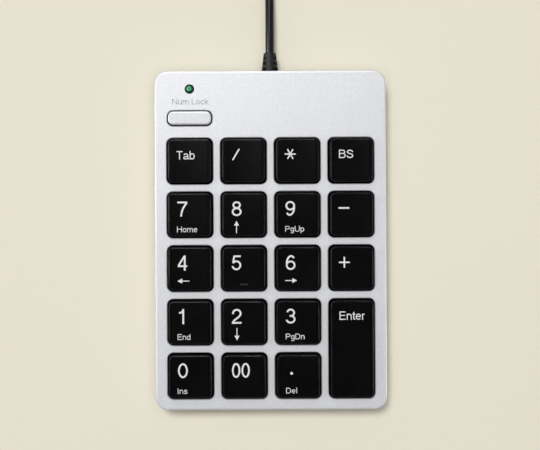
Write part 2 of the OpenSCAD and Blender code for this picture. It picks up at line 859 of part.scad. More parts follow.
// Hollow square stem with crossed ribs that press the dome, and two snap hooks.
module key_stem() {
    difference() {
        slab(stem_width, stem_width, 0.5, stem_foot, key_under + bond);
        slab(stem_width - 2 * stem_wall, stem_width - 2 * stem_wall, 0.3, stem_foot - through, key_under);
    }
    for (a = [0, 90])
        rotate([0, 0, a])
            translate([stem_wall / 2 - stem_width / 2, -stem_rib / 2, stem_foot])
                cube([stem_width - stem_wall, stem_rib, key_under + bond - stem_foot]);
    for (a = [0, 180])
        rotate([90, 0, a])
            translate([stem_width / 2, 0, 0])
                linear_extrude(height = hook_width, center = true)
                    polygon([
                        [-bond, hook_foot], [0, hook_foot], [hook_reach, hook_foot + hook_height * 0.45],
                        [hook_reach, hook_top], [-bond, hook_top]
                    ]);
}

// A hollow key cap of a given plan size, dished from side to side.
module key_cap(w, d) {
    half = w / 2 - key_lean - key_bevel - dish_rim;
    dish = (half * half + key_dish * key_dish) / (2 * key_dish);
    difference() {
        profiled_block(w, d, key_corner, [
            [0, skirt_foot], [key_lean, key_top - key_bevel], [key_lean + key_bevel, key_top]
        ]);
        profiled_block(w - 2 * key_wall, d - 2 * key_wall, key_corner - key_wall, [
            [0, skirt_foot - small_gap], [0, skirt_foot], [key_lean, key_under]
        ]);
        translate([0, d / 2 + 1, key_top - key_dish + dish])
            rotate([90, 0, 0])
                cylinder(r = dish, h = d + 2, $fn = 240);
    }
}

module single_key(c, r) {
    color(black)
    translate([column(c), row(r), 0]) {
        key_cap(key_side, key_side);
        key_stem();
    }
}

module key_tab() single_key(0, 0);
module key_divide() single_key(1, 0);
module key_multiply() single_key(2, 0);
module key_backspace() single_key(3, 0);
module key_7() single_key(0, 1);
module key_8() single_key(1, 1);
module key_9() single_key(2, 1);
module key_minus() single_key(3, 1);
module key_4() single_key(0, 2);
module key_6() single_key(2, 2);
module key_plus() single_key(3, 2);
module key_1() single_key(0, 3);
module key_2() single_key(1, 3);
module key_3() single_key(2, 3);
module key_0() single_key(0, 4);
module key_00() single_key(1, 4);
module key_decimal() single_key(2, 4);

// The middle key carries a raised bar that a finger can feel.
module key_5() {
    single_key(1, 2);
    color(black)
    translate([column(1), row(2) - home_bar_forward, key_top - key_dish + 0.1]) {
        translate([-home_bar_length / 2 + home_bar_width / 2, 0, 0])
            rotate([0, 90, 0])
                cylinder(r = home_bar_width / 2, h = home_bar_length - home_bar_width);
        for (x = [-1, 1])
            translate([x * (home_bar_length - home_bar_width) / 2, 0, 0])
                sphere(r = home_bar_width / 2);
    }
}

// An ear under the double key, with a slot in which the wire's end slides.
module wire_ear() {
    slot_half = ear_play / 2 + wire_clear;
    low = wire_level + key_travel / 2 - wire_bore - 0.6;
    difference() {
        translate([-slot_half - wire_bore - 0.8, -clip_thick / 2, low])
            cube([2 * (slot_half + wire_bore + 0.8), clip_thick, key_under + bond - low]);
        translate([0, 0, wire_level + key_travel / 2]) {
            rotate([90, 0, 0])
                linear_extrude(height = 2 * clip_thick, center = true) {
                    square([2 * slot_half, 2 * wire_bore], center = true);
                    for (x = [-1, 1])
                        translate([x * slot_half, 0])
                            circle(r = wire_bore);
                }
            translate([-wire_radius * 0.8, -clip_thick, -3])
                cube([wire_radius * 1.6, 2 * clip_thick, 3]);
        }
    }
}

module key_enter() {
    color(black)
    translate([enter_at[0], enter_at[1], 0]) {
        key_cap(key_side, enter_length);
        key_stem();
        for (y = [-1, 1])
            translate([ear_x, y * ear_y, 0])
                wire_ear();
        for (y = [-1, 1])
            translate([-key_side / 2 + key_wall / 2, y * (guide_outer / 2 + 1.6) - 0.4, key_under - 1])
                cube([key_side - key_wall, 0.8, 1 + bond]);
    }
}

// The bent wire that keeps the double key level: a long rod, two arms and two short ends.
module enter_stabiliser() {
    reach = wire_spread - wire_bend;
    color([0.75, 0.76, 0.78])
    translate([enter_at[0] + wire_offset, enter_at[1], wire_level])
        rotate([0, wire_tilt, 0]) {
            translate([0, reach, 0])
                rotate([90, 0, 0])
                    cylinder(r = wire_radius, h = 2 * reach);
            for (side = [0, 1])
                mirror([0, side, 0]) {
                    translate([-wire_bend, reach, 0])
                        rotate_extrude(angle = 90)
                            translate([wire_bend, 0])
                                circle(r = wire_radius);
                    translate([wire_bend - wire_arm, wire_spread, 0])
                        rotate([0, 90, 0])
                            cylinder(r = wire_radius, h = wire_arm - 2 * wire_bend);
                    translate([wire_bend - wire_arm, reach, 0])
                        rotate([0, 0, 90])
                            rotate_extrude(angle = 90)
                                translate([wire_bend, 0])
                                    circle(r = wire_radius);
                    translate([-wire_arm, reach, 0])
                        rotate([90, 0, 0])
                            cylinder(r = wire_radius, h = reach - ear_y + clip_thick / 2 + end_gap);
                }
        }
}

// ---------- cord ----------

// Tapered boot on the cord, with pockets each side of a spine that let it flex, and its neck and flange in the wall.
module strain_relief() {
    flange_face = rear - base_wall - small_gap;
    pocket_floor = cord_radius + 2 * small_gap;
    color(black)
    translate([0, 0, cord_height])
        rotate([-90, 0, 0]) {
            difference() {
                rotate_extrude()
                    polygon([
                        [0, flange_face - 1.5], [3.1, flange_face - 1.5], [3.1, flange_face],
                        [relief_neck / 2, flange_face], [relief_neck / 2, rear + small_gap],
                        [relief_foot / 2, rear + small_gap], [relief_tip / 2, cord_start - 0.3],
                        [relief_tip / 2 - 0.2, cord_start], [0, cord_start]
                    ]);
                for (i = [0:2], side = [-1, 1], up = [-1, 1])
                    translate([
                        side * (relief_spine + relief_foot / 2), up * (pocket_floor + relief_foot / 2),
                        rear + relief_length * (0.22 + 0.275 * i)
                    ])
                        cube([relief_foot, relief_foot, relief_length * relief_pocket], center = true);
            }
            rod(cord_radius, flange_face, cord_start);
        }
}

function unit(v) = v / norm(v);
function heading(p, i) = unit(p[min(i + 1, len(p) - 1)] - p[max(i - 1, 0)]);
function ring(c, t, r, n) =
    let (s = unit(cross(t, [0, 0, 1])), u = cross(s, t))
    [for (j = [0:n - 1]) c + r * (cos(360 * j / n) * s + sin(360 * j / n) * u)];

// A tube through the given points. Its two ends are square to the headings given.
module tube(p, r, n, first, last) {
    m = len(p);
    rings = [
        for (i = [0:m - 1])
            each ring(p[i], i == 0 ? first : i == m - 1 ? last : heading(p, i), r, n)
    ];
    polyhedron(points = rings, faces = concat(
        [for (j = [1:n - 2]) [0, j + 1, j]],
        [for (i = [0:m - 2], j = [0:n - 1]) [i * n + j, i * n + (j + 1) % n, (i + 1) * n + (j + 1) % n]],
        [for (i = [0:m - 2], j = [0:n - 1]) [i * n + j, (i + 1) * n + (j + 1) % n, (i + 1) * n + j]],
        [for (j = [1:n - 2]) [(m - 1) * n, (m - 1) * n + j, (m - 1) * n + j + 1]]
    ));
}

module cord_lead() {
    n = len(lead_route);
    color(black)
    tube([
        for (i = [0:n - 1])
            let (p = lead_route[i])
            [p[0], cord_start + p[1], i < 2 ? cord_height : i == n - 1 ? coil_floor : p[2]]
    ], cord_radius, 8, [0, 1, 0], [0, 1, 0]);
}

// The wound cord spirals in and out again, and climbs a layer in each half turn where it reverses.
function ease(t) = let (s = min(max(t, 0), 1)) s * s * (3 - 2 * s);
function wound_radius(t) =
    let (k = min(floor(t / coil_layer_loops), coil_layers - 1), u = t - k * coil_layer_loops)
    k % 2 == 0 ? coil_outer - coil_step * u : coil_inner + coil_step * u;
function climbs(t, k = 1) =
    k >= coil_layers ? 0 : ease((t - k * coil_layer_loops + 0.25) / 0.5) + climbs(t, k + 1);
function wound_point(t) = [
    coil_centre[0] + wound_radius(t) * cos(360 * t),
    coil_centre[1] + wound_radius(t) * sin(360 * t),
    coil_floor + coil_step * climbs(t)
];
wound_steps = coil_loops * rings_per_loop;
wound_route = concat(
    [coil_entry],
    [for (i = [0:wound_steps]) wound_point(i / rings_per_loop)],
    [coil_exit]
);
// Least distance between stretches of the wound cord that lie more than half a turn apart.
wound_gap = min([
    for (i = [0:2:len(wound_route) - 1], j = [i + 12:1:len(wound_route) - 1])
        norm(wound_route[i] - wound_route[j])
]) - cord_diameter;
echo(least_gap_between_turns = wound_gap);

module cord_coil() {
    color(black)
    tube(wound_route, cord_radius, 6, [0, 1, 0], [0, 1, 0]);
}

module cord_tie() {
    low = small_gap / 2;
    high = coil_top + cord_radius + small_gap;
    inside = coil_inner - cord_radius - end_gap;
    outside = coil_outer - coil_step / 2 + cord_radius + end_gap;
    color([0.16, 0.16, 0.17])
    translate([coil_centre[0], coil_centre[1], 0])
        rotate([0, 0, 180]) {
            difference() {
                translate([inside - tie_thick, -tie_width / 2, low])
                    cube([outside - inside + 2 * tie_thick, tie_width, high + tie_thick - low]);
                translate([inside, -tie_width, low + tie_thick])
                    cube([outside - inside, 2 * tie_width, high - low - tie_thick]);
            }
            for (a = [-14, 14])
                translate([outside, 0, high * 0.6])
                    rotate([0, 0, a])
                        translate([0, -0.6, a / 14 * 0.3 - 0.2])
                            cube([tie_end, tie_width / 2, tie_thick]);
        }
}

module cord_tail() {
    n = len(tail_route);
    color(black)
    tube([
        for (i = [0:n - 1])
            let (p = tail_route[i])
            [coil_exit[0] + p[0], coil_exit[1] + p[1], i == 0 ? coil_top : p[2]]
    ], cord_radius, 8, [0, 1, 0], [0, -1, 0]);
}

// ---------- plug ----------

// The plug's own frame: its cord end at the origin, pointing along +X.
module plug_frame() {
    translate(plug_at)
        rotate([0, 0, -90])
            children();
}

module lying_slab(w, h, r, from, to) {
    translate([from, 0, 0])
        rotate([90, 0, 90])
            linear_extrude(height = to - from)
                rounded_outline(w, h, r);
}

module usb_grip() {
    color(black)
    plug_frame() {
        difference() {
            union() {
                lying_slab(grip_width, grip_height, 2.6, grip_tail + 1.2, grip_tail + grip_length);
                lying_slab(grip_width - 2, grip_height - 1.2, 2.4, grip_tail, grip_tail + grip_length - 1);
            }
            for (i = [0:3], side = [-1, 1])
                translate([grip_tail + 5 + 2.4 * i, side * grip_width / 2, 0])
                    cube([1.1, 0.9, grip_height + 1], center = true);
        }
        rotate([0, 90, 0])
            difference() {
                cylinder(r1 = relief_tip / 2, r2 = 3, h = grip_tail + bond);
                for (i = [0:2])
                    translate([0, 0, 1.6 + 2.2 * i])
                        difference() {
                            cylinder(r = 4, h = 0.9);
                            cylinder(r = cord_radius + 0.25, h = 0.9);
                        }
            }
    }
}

module usb_shell() {
    from = grip_tail + grip_length;
    color([0.75, 0.76, 0.78])
    plug_frame()
        difference() {
            lying_slab(shell_width, shell_height, 0.6, from, from + shell_length);
            lying_slab(shell_width - 2 * shell_wall, shell_height - 2 * shell_wall, 0.6 - shell_wall,
                from - through, from + shell_length + through);
            for (y = [-1, 1])
                translate([from + shell_length * 0.45, y * shell_width / 4 - 1.25, -shell_height])
                    cube([1.9, 2.5, 2 * shell_height]);
        }
}

module usb_tongue() {
    from = grip_tail + grip_length;
    low = shell_wall - shell_height / 2;
    color([0.93, 0.93, 0.92])
    plug_frame()
        translate([from, 1 - shell_width / 2 + shell_wall - 0.3, low])
            cube([shell_length - 0.4, shell_width - 2 * shell_wall - 1.4, 1.9]);
}

module usb_contacts() {
    from = grip_tail + grip_length;
    low = shell_wall - shell_height / 2 + 1.9;
    color([0.9, 0.75, 0.35])
    plug_frame()
        for (i = [0:3]) {
            long = contact_length + (i % 3 == 0 ? contact_extra : 0);
            side = contact_middle / 2 + (i % 3 == 0 ? contact_outer : 0);
            translate([from + shell_length - 1.4 - long, (i < 2 ? -side : side) - 0.5, low])
                cube([long, 1, 0.15]);
        }
}

bottom_cover();
top_cover();
case_screws();
rubber_feet();
steel_plate();
film_lower();
film_spacer();
film_upper();
dome_sheet();
key_frame();
circuit_board();
controller_chip();
wire_header();
inner_wires();
tail_clamp();
clamp_screws();
indicator_lamp();
lock_button();
key_tab();
key_divide();
key_multiply();
key_backspace();
key_7();
key_8();
key_9();
key_minus();
key_4();
key_5();
key_6();
key_plus();
key_1();
key_2();
key_3();
key_enter();
key_0();
key_00();
key_decimal();
enter_stabiliser();
strain_relief();
cord_lead();
cord_coil();
cord_tie();
cord_tail();
usb_grip();
usb_shell();
usb_tongue();
usb_contacts();
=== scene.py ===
import json
import math

import bmesh
import bpy
from mathutils import Matrix, Vector

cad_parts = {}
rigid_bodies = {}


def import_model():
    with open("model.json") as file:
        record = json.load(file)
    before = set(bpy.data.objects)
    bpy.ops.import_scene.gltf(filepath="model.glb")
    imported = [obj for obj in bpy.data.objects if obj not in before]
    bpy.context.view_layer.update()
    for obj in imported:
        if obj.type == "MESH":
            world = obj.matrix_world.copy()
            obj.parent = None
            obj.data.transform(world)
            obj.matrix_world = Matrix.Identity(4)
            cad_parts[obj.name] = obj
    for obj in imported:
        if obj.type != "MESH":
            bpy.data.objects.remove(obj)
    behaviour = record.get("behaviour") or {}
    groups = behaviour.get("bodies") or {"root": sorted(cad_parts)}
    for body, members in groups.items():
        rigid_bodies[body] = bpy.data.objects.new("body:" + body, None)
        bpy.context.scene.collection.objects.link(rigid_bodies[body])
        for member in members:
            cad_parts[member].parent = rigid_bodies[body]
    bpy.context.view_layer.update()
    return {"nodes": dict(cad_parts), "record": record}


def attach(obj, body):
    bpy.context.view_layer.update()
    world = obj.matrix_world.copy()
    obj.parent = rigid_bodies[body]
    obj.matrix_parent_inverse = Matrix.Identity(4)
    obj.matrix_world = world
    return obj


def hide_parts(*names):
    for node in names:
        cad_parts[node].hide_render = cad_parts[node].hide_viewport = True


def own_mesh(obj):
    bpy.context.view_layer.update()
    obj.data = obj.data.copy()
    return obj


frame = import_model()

# The looks of the numeric keypad. Lengths are written in millimetres and made metres by MM, except those of
# the lamps and the floor.
MM = 0.001

# Where the keys stand, and the levels of the housing's and the keys' tops. A key's top is dished across its
# width.
COLUMNS = (-28.5, -9.5, 9.5, 28.5)
ROWS = (28.1, 9.1, -9.9, -28.9, -47.9)
COVER_TOP = 11.0
KEY_TOP = 13.7
DISH_DEPTH = 0.25
DISH_HALF = 6.45
DISH_RADIUS = (DISH_HALF ** 2 + DISH_DEPTH ** 2) / (2 * DISH_DEPTH)


# ---------- small helpers ----------

def set_down(name, data):
    """A new object for a mesh, a curve, a lamp or the camera, linked to the scene."""
    made = bpy.data.objects.new(name, data)
    bpy.context.scene.collection.objects.link(made)
    return made


def rgb(*parts):
    """A colour written as seen on a screen, 0 to 255, made linear."""
    return tuple((p / 255 / 12.92) if p <= 10 else ((p / 255 + 0.055) / 1.055) ** 2.4 for p in parts) + (1,)


# ---------- camera, floor and light ----------

# The photograph as a pinhole: its size and its focal length in pixels, the camera's height over the table in
# millimetres, the picture place of the housing's middle, and the picture's turn.
PICTURE = (540, 450)
FOCAL_PIXELS = 989.5
CAMERA_HEIGHT = 361.0
MIDDLE_AT = (270.75, 240.2)
ROLL = math.radians(-0.30)
SENSOR = 36.0
NEAREST_SEEN = 0.01

# Each lamp: its place in metres, its width, its power and what it lights. The first two give the level and
# the shadows. The others show only in gloss: the glow grades the paint, and the strips draw the keys' rims.
LAMPS = {
    "ceiling": ((0, 0, 1.5), 1.6, 9.8, "surfaces"),
    "overhead": ((-0.37, 0.70, 2.17), 0.62, 26.3, "surfaces"),
    "paint_glow": ((-0.28, 0.60, 1.25), 0.9, 5.0, "gloss"),
    "left_strip": ((-1.1, 0.15, 0.75), 0.36, 12.5, "gloss"),
    "rear_strip": ((-0.15, 1.1, 0.75), 0.36, 12.5, "gloss"),
    "right_strip": ((1.1, -0.1, 0.62), 0.3, 5.0, "gloss"),
}

# The room's own light, from the sides and from straight above, and the heights between which one fades to the
# other.
ROOM_SIDES = (0.28, 0.28, 0.284, 1)
ROOM_ZENITH = (0.02, 0.02, 0.02, 1)
ROOM_FADE = (0.6, 0.93)
FLOOR_SIZE = 3.0


def set_camera():
    data = bpy.data.cameras.new("camera")
    data.sensor_fit = "HORIZONTAL"
    data.sensor_width = SENSOR
    data.lens = FOCAL_PIXELS / PICTURE[0] * SENSOR
    data.shift_x = (PICTURE[0] / 2 - MIDDLE_AT[0]) / PICTURE[0]
    data.shift_y = (MIDDLE_AT[1] - PICTURE[1] / 2) / PICTURE[0]
    data.clip_start = NEAREST_SEEN
    camera = set_down("camera", data)
    camera.location = (0, 0, CAMERA_HEIGHT * MM)
    camera.rotation_euler = (0, 0, ROLL)
    bpy.context.scene.camera = camera


def hang_lamps():
    for name, (place, width, power, lights) in LAMPS.items():
        data = bpy.data.lights.new(name, "AREA")
        data.shape = "DISK"
        data.size = width
        data.energy = power
        lamp = set_down(name, data)
        lamp.location = place
        lamp.rotation_euler = (-Vector(place)).to_track_quat("-Z", "Y").to_euler()
        lamp.visible_glossy = lights == "gloss"
        lamp.visible_diffuse = lights == "surfaces"


def set_room():
    """A soft room: even light from the sides, and less from straight above, where the camera stands."""
    world = bpy.data.worlds.new("soft_room")
    world.use_nodes = True
    tree = world.node_tree
    tree.nodes.clear()
    where = tree.nodes.new("ShaderNodeTexCoord")
    split = tree.nodes.new("ShaderNodeSeparateXYZ")
    height = tree.nodes.new("ShaderNodeMapRange")
    height.interpolation_type = "SMOOTHSTEP"
    height.inputs["From Min"].default_value = ROOM_FADE[0]
    height.inputs["From Max"].default_value = ROOM_FADE[1]
    mix = tree.nodes.new("ShaderNodeMix")
    mix.data_type = "RGBA"
    mix.inputs["A"].default_value = ROOM_SIDES
    mix.inputs["B"].default_value = ROOM_ZENITH
    background = tree.nodes.new("ShaderNodeBackground")
    out = tree.nodes.new("ShaderNodeOutputWorld")
    link = tree.links.new
    link(where.outputs["Generated"], split.inputs[0])
    link(split.outputs["Z"], height.inputs["Value"])
    link(height.outputs["Result"], mix.inputs["Factor"])
    link(mix.outputs["Result"], background.inputs["Color"])
    link(background.outputs[0], out.inputs["Surface"])
    bpy.context.scene.world = world


def lay_floor(material):
    bpy.ops.mesh.primitive_plane_add(size=FLOOR_SIZE)
    floor = bpy.context.active_object
    floor.name = "floor"
    floor.data.materials.append(material)


# ---------- shader nodes ----------

def feed(tree, into, value):
    """Gives a node's input a plain value, or links another node's output to it."""
    if isinstance(value, (int, float, tuple)):
        into.default_value = value
    else:
        tree.links.new(value, into)


def math_node(tree, operation, first, second=0.0):
    made = tree.nodes.new("ShaderNodeMath")
    made.operation = operation
    feed(tree, made.inputs[0], first)
    feed(tree, made.inputs[1], second)
    return made.outputs[0]


def mix_node(tree, factor, first, second):
    made = tree.nodes.new("ShaderNodeMix")
    made.data_type = "RGBA"
    for name, value in (("Factor", factor), ("A", first), ("B", second)):
        feed(tree, made.inputs[name], value)
    return made.outputs["Result"]


def range_node(tree, value, low, high, to_low=0.0, to_high=1.0):
    made = tree.nodes.new("ShaderNodeMapRange")
    wanted = {"Value": value, "From Min": low, "From Max": high, "To Min": to_low, "To Max": to_high}
    for name, number in wanted.items():
        feed(tree, made.inputs[name], number)
    return made.outputs["Result"]


def noise_node(tree, where, scale, detail):
    made = tree.nodes.new("ShaderNodeTexNoise")
    for name, value in (("Vector", where), ("Scale", scale), ("Detail", detail)):
        feed(tree, made.inputs[name], value)
    return made.outputs["Fac"]


def ramp_node(tree, value, stops, between="LINEAR"):
    """Colours set along a value, as (place, colour) pairs."""
    made = tree.nodes.new("ShaderNodeValToRGB")
    made.color_ramp.interpolation = between
    while len(made.color_ramp.elements) < len(stops):
        made.color_ramp.elements.new(0.5)
    for i, (at, tint) in enumerate(stops):
        made.color_ramp.elements[i].position = at
        made.color_ramp.elements[i].color = tint
    feed(tree, made.inputs[0], value)
    return made.outputs["Color"]


def place_on_piece(tree):
    return tree.nodes.new("ShaderNodeTexCoord").outputs["Object"]


def split_place(tree):
    """The X, Y and Z of the place on the piece."""
    made = tree.nodes.new("ShaderNodeSeparateXYZ")
    tree.links.new(place_on_piece(tree), made.inputs[0])
    return made.outputs


def start_group(name, inputs):
    """A finish group with its named inputs, which puts out a colour, a roughness and a height."""
    group = bpy.data.node_groups.new(name, "ShaderNodeTree")
    for label, kind, value in inputs:
        made = group.interface.new_socket(name=label, in_out="INPUT", socket_type="NodeSocket" + kind)
        made.default_value = value
    for label, kind in (("Colour", "Color"), ("Roughness", "Float"), ("Height", "Float")):
        group.interface.new_socket(name=label, in_out="OUTPUT", socket_type="NodeSocket" + kind)
    return group, group.nodes.new("NodeGroupInput").outputs, place_on_piece(group)


def put_out(group, colour, roughness, height):
    give = group.nodes.new("NodeGroupOutput").inputs
    for label, value in (("Colour", colour), ("Roughness", roughness), ("Height", height)):
        group.links.new(value, give[label])
    return group


def make_grain_group():
    """Moulded plastic, rubber or vinyl: a fine grain, a slow drift of tone, and finger marks in the gloss."""
    group, take, place = start_group("moulded_grain", (
        ("Colour", "Color", (0.5, 0.5, 0.5, 1)), ("Worn colour", "Color", (0.6, 0.6, 0.6, 1)),
        ("Grain size", "Float", 3000.0), ("Drift size", "Float", 60.0),
        ("Roughness", "Float", 0.5), ("Gloss marks", "Float", 0.1)))
    grain = noise_node(group, place, take["Grain size"], 2.0)
    drift = noise_node(group, place, take["Drift size"], 4.0)
    worn = math_node(group, "MULTIPLY", range_node(group, drift, 0.35, 0.75), 0.55)
    specks = math_node(group, "MULTIPLY", range_node(group, grain, 0.45, 0.8), 0.45)
    colour = mix_node(group, math_node(group, "ADD", worn, specks), take["Colour"], take["Worn colour"])
    marks = math_node(group, "MULTIPLY", math_node(group, "SUBTRACT", drift, 0.5), take["Gloss marks"])
    rough = math_node(group, "ADD", take["Roughness"], math_node(group, "MULTIPLY", marks, 2.0))
    return put_out(group, colour, rough, grain)


def make_flake_group():
    """Metallic lacquer: tiny flakes of differing tilt and tone under a soft, faintly uneven coat."""
    group, take, place = start_group("metal_flake", (
        ("Colour", "Color", (0.7, 0.7, 0.7, 1)), ("Flake colour", "Color", (0.9, 0.9, 0.9, 1)),
        ("Flake size", "Float", 5000.0), ("Roughness", "Float", 0.45)))
    cells = group.nodes.new("ShaderNodeTexVoronoi")
    feed(group, cells.inputs["Vector"], place)
    feed(group, cells.inputs["Scale"], take["Flake size"])
    tone = group.nodes.new("ShaderNodeSeparateColor")
    feed(group, tone.inputs[0], cells.outputs["Color"])
    bright = range_node(group, tone.outputs["Red"], 0.3, 1.0)
    drift = noise_node(group, place, 45.0, 4.0)
    uneven = math_node(group, "MULTIPLY", math_node(group, "SUBTRACT", drift, 0.5), 0.12)
    spread = math_node(group, "MULTIPLY", math_node(group, "SUBTRACT", tone.outputs["Green"], 0.5), 0.16)
    rough = math_node(group, "ADD", take["Roughness"], math_node(group, "ADD", uneven, spread))
    colour = mix_node(group, bright, take["Colour"], take["Flake colour"])
    return put_out(group, colour, rough, tone.outputs["Blue"])


def make_brush_group():
    """Rolled, drawn or plated metal: fine lines along one direction, and a few duller patches."""
    group, take, place = start_group("drawn_metal", (
        ("Colour", "Color", (0.6, 0.6, 0.6, 1)), ("Dull colour", "Color", (0.4, 0.4, 0.4, 1)),
        ("Line scale", "Vector", (400.0, 9000.0, 9000.0)), ("Roughness", "Float", 0.3)))
    stretch = group.nodes.new("ShaderNodeVectorMath")
    stretch.operation = "MULTIPLY"
    feed(group, stretch.inputs[0], place)
    feed(group, stretch.inputs[1], take["Line scale"])
    lines = noise_node(group, stretch.outputs[0], 1.0, 2.0)
    patches = range_node(group, noise_node(group, place, 220.0, 3.0), 0.5, 0.75)
    halves = [math_node(group, "MULTIPLY", value, 0.5) for value in (lines, patches)]
    mask = math_node(group, "ADD", *halves)
    rough = math_node(group, "ADD", take["Roughness"], math_node(group, "MULTIPLY", mask, 0.22))
    return put_out(group, mix_node(group, mask, take["Colour"], take["Dull colour"]), rough, lines)


# ---------- materials ----------

GRAIN = make_grain_group()
FLAKE = make_flake_group()
BRUSH = make_brush_group()

# Moulded, printed and soft finishes: colour, worn colour, roughness, finger marks in the gloss, grain and
# drift (repeats to a metre), strength of the relief, and its depth in millimetres.
GRAINED = {
    "key_black": ((8, 8, 8), (13, 13, 13), 0.24, 0.06, 4200.0, 90.0, 0.2, 0.008),
    # The home bar's lighter, rougher black: partly wear, partly a painted highlight on the bar.
    "worn_black": ((27, 27, 27), (40, 40, 40), 0.5, 0.05, 4200.0, 300.0, 0.2, 0.008),
    "black_cover": ((34, 34, 36), (48, 48, 50), 0.6, 0.06, 2600.0, 70.0, 0.5, 0.03),
    "foot_rubber": ((38, 38, 38), (56, 55, 54), 0.85, 0.04, 2200.0, 120.0, 0.4, 0.04),
    "dome_rubber": ((214, 212, 205), (196, 194, 188), 0.55, 0.08, 2500.0, 90.0, 0.15, 0.02),
    "frame_plastic": ((30, 30, 32), (42, 42, 44), 0.5, 0.06, 3000.0, 60.0, 0.3, 0.02),
    "chip_black": ((36, 36, 38), (52, 52, 54), 0.55, 0.03, 5000.0, 200.0, 0.3, 0.02),
    "header_white": ((228, 226, 214), (214, 210, 196), 0.45, 0.05, 3000.0, 60.0, 0.3, 0.02),
    "clamp_plastic": ((48, 48, 50), (62, 62, 64), 0.55, 0.06, 3000.0, 60.0, 0.3, 0.02),
    "cord_black": ((9, 9, 10), (15, 15, 16), 0.3, 0.05, 1800.0, 150.0, 0.06, 0.01),
    "boot_black": ((13, 13, 14), (21, 21, 22), 0.46, 0.05, 1800.0, 150.0, 0.06, 0.01),
    "tie_black": ((44, 44, 45), (60, 60, 61), 0.5, 0.06, 2500.0, 200.0, 0.3, 0.02),
    "print_white": ((226, 226, 224), (210, 210, 208), 0.5, 0.05, 6000.0, 400.0, 0.1, 0.005),
    "print_grey": ((150, 152, 156), (162, 164, 168), 0.5, 0.05, 6000.0, 400.0, 0.1, 0.005),
    "board_green": ((22, 92, 46), (30, 104, 54), 0.3, 0.06, 3000.0, 120.0, 0.1, 0.01),
    "wire_insulation": ((120, 30, 28), (132, 40, 36), 0.42, 0.06, 3000.0, 60.0, 0.3, 0.02),
    # The lamp's resin; its painted highlight and painted shade are set later, as rings round its cup.
    "lamp_green": ((20, 110, 66), (24, 118, 70), 0.12, 0.03, 900.0, 300.0, 0.02, 0.01),
    "floor_card": ((233, 227, 209), (231, 225, 207), 0.9, 0.02, 900.0, 6.0, 0.05, 0.02),
}

# Metals: colour, dull colour, roughness, and how fine their lines are along X, Y and Z.
LINES_ON_X = (400.0, 9000.0, 9000.0)
LINES_ON_Y = (9000.0, 500.0, 9000.0)
DRAWN = {
    "zinc_screw": ((176, 178, 182), (128, 130, 134), 0.28, LINES_ON_X),
    "plain_steel": ((186, 188, 191), (150, 152, 155), 0.32, LINES_ON_X),
    "spring_wire": ((190, 191, 194), (140, 141, 144), 0.25, LINES_ON_X),
    "plug_steel": ((216, 216, 216), (186, 186, 188), 0.18, LINES_ON_Y),
    "contact_gold": ((228, 190, 104), (190, 150, 74), 0.22, LINES_ON_Y),
}

# Silver paint: colour, flake colour, and the level below which the moulding's inside is bare dark plastic,
# which also stands as painted shade in the gaps round the keys and the button.
PAINTED = {
    "silver_paint": ((213, 214, 217), (226, 227, 230), 10.4),
    "button_paint": ((204, 205, 209), (221, 222, 226), 10.9),
}
FLAKE_SIZE = 4200.0
PAINT_ROUGHNESS = 0.46
PAINT_METAL = 0.37
WALLS_INSIDE = (39.4, 58.4)

# Films: clear colour, colour of the printed tracks, and their pitch.
FILMS = {
    "contact_film": ((196, 208, 212), (150, 154, 158), 1.9),
    "spacer_film": ((212, 218, 216), (204, 211, 209), 6.0),
}

# Values that are even all over a material, set on its shader.
OWN_VALUES = {
    "key_black": {"Specular IOR Level": 0.1},
    "worn_black": {"Specular IOR Level": 0.3},
    "cord_black": {"Specular IOR Level": 0.32},
    "boot_black": {"Specular IOR Level": 0.32},
    "lamp_green": {"Specular IOR Level": 0.35},
    "floor_card": {"Specular IOR Level": 0.1},
    "dome_rubber": {"Subsurface Weight": 0.15, "Subsurface Scale": 0.002},
    **{name: {"Metallic": PAINT_METAL} for name in PAINTED},
    **{name: {"Metallic": 1.0} for name in DRAWN},
}

WIRE_SPAN = 2.4
WIRE_COLOURS = ((176, 34, 30), (226, 224, 216), (30, 128, 58), (30, 30, 32))

# The lamp's bright cup, a little off its middle towards the light, and its colours from there outwards.
# The light ring is partly the cup and partly a painted highlight; the dark outer colours are painted shade.
CUP_AND_HIGHLIGHT_AT = (-28.66, 53.67)
CUP_REACH = 1.6
CUP_HIGHLIGHT_AND_SHADE_COLOURS = ((0.0, (22, 128, 76)), (0.25, (28, 140, 84)), (0.37, (118, 210, 164)), (0.5, (36, 136, 86)),
               (0.62, (9, 72, 44)), (1.0, (3, 36, 23)))


def material_with(name, group, values, relief, depth):
    """A Principled material: its colour, gloss and relief come from a group, its even values are its own."""
    made = bpy.data.materials.new(name)
    made.use_nodes = True
    tree = made.node_tree
    tree.nodes.clear()
    shader = tree.nodes.new("ShaderNodeBsdfPrincipled")
    shader.name = "shader"
    out = tree.nodes.new("ShaderNodeOutputMaterial")
    tree.links.new(shader.outputs[0], out.inputs["Surface"])
    finish = tree.nodes.new("ShaderNodeGroup")
    finish.node_tree = group
    finish.name = "finish"
    for label, value in values.items():
        finish.inputs[label].default_value = value
    tree.links.new(finish.outputs["Colour"], shader.inputs["Base Color"])
    tree.links.new(finish.outputs["Roughness"], shader.inputs["Roughness"])
    bump = tree.nodes.new("ShaderNodeBump")
    bump.inputs["Strength"].default_value = relief
    bump.inputs["Distance"].default_value = depth * MM
    tree.links.new(finish.outputs["Height"], bump.inputs["Height"])
    tree.links.new(bump.outputs["Normal"], shader.inputs["Normal"])
    for label, value in OWN_VALUES.get(name, {}).items():
        shader.inputs[label].default_value = value
    return made


def grained(name, colour, worn, rough, marks, grain, drift, relief, depth):
    values = {"Colour": colour, "Worn colour": worn, "Grain size": grain, "Drift size": drift,
              "Roughness": rough, "Gloss marks": marks}
    return material_with(name, GRAIN, values, relief, depth)


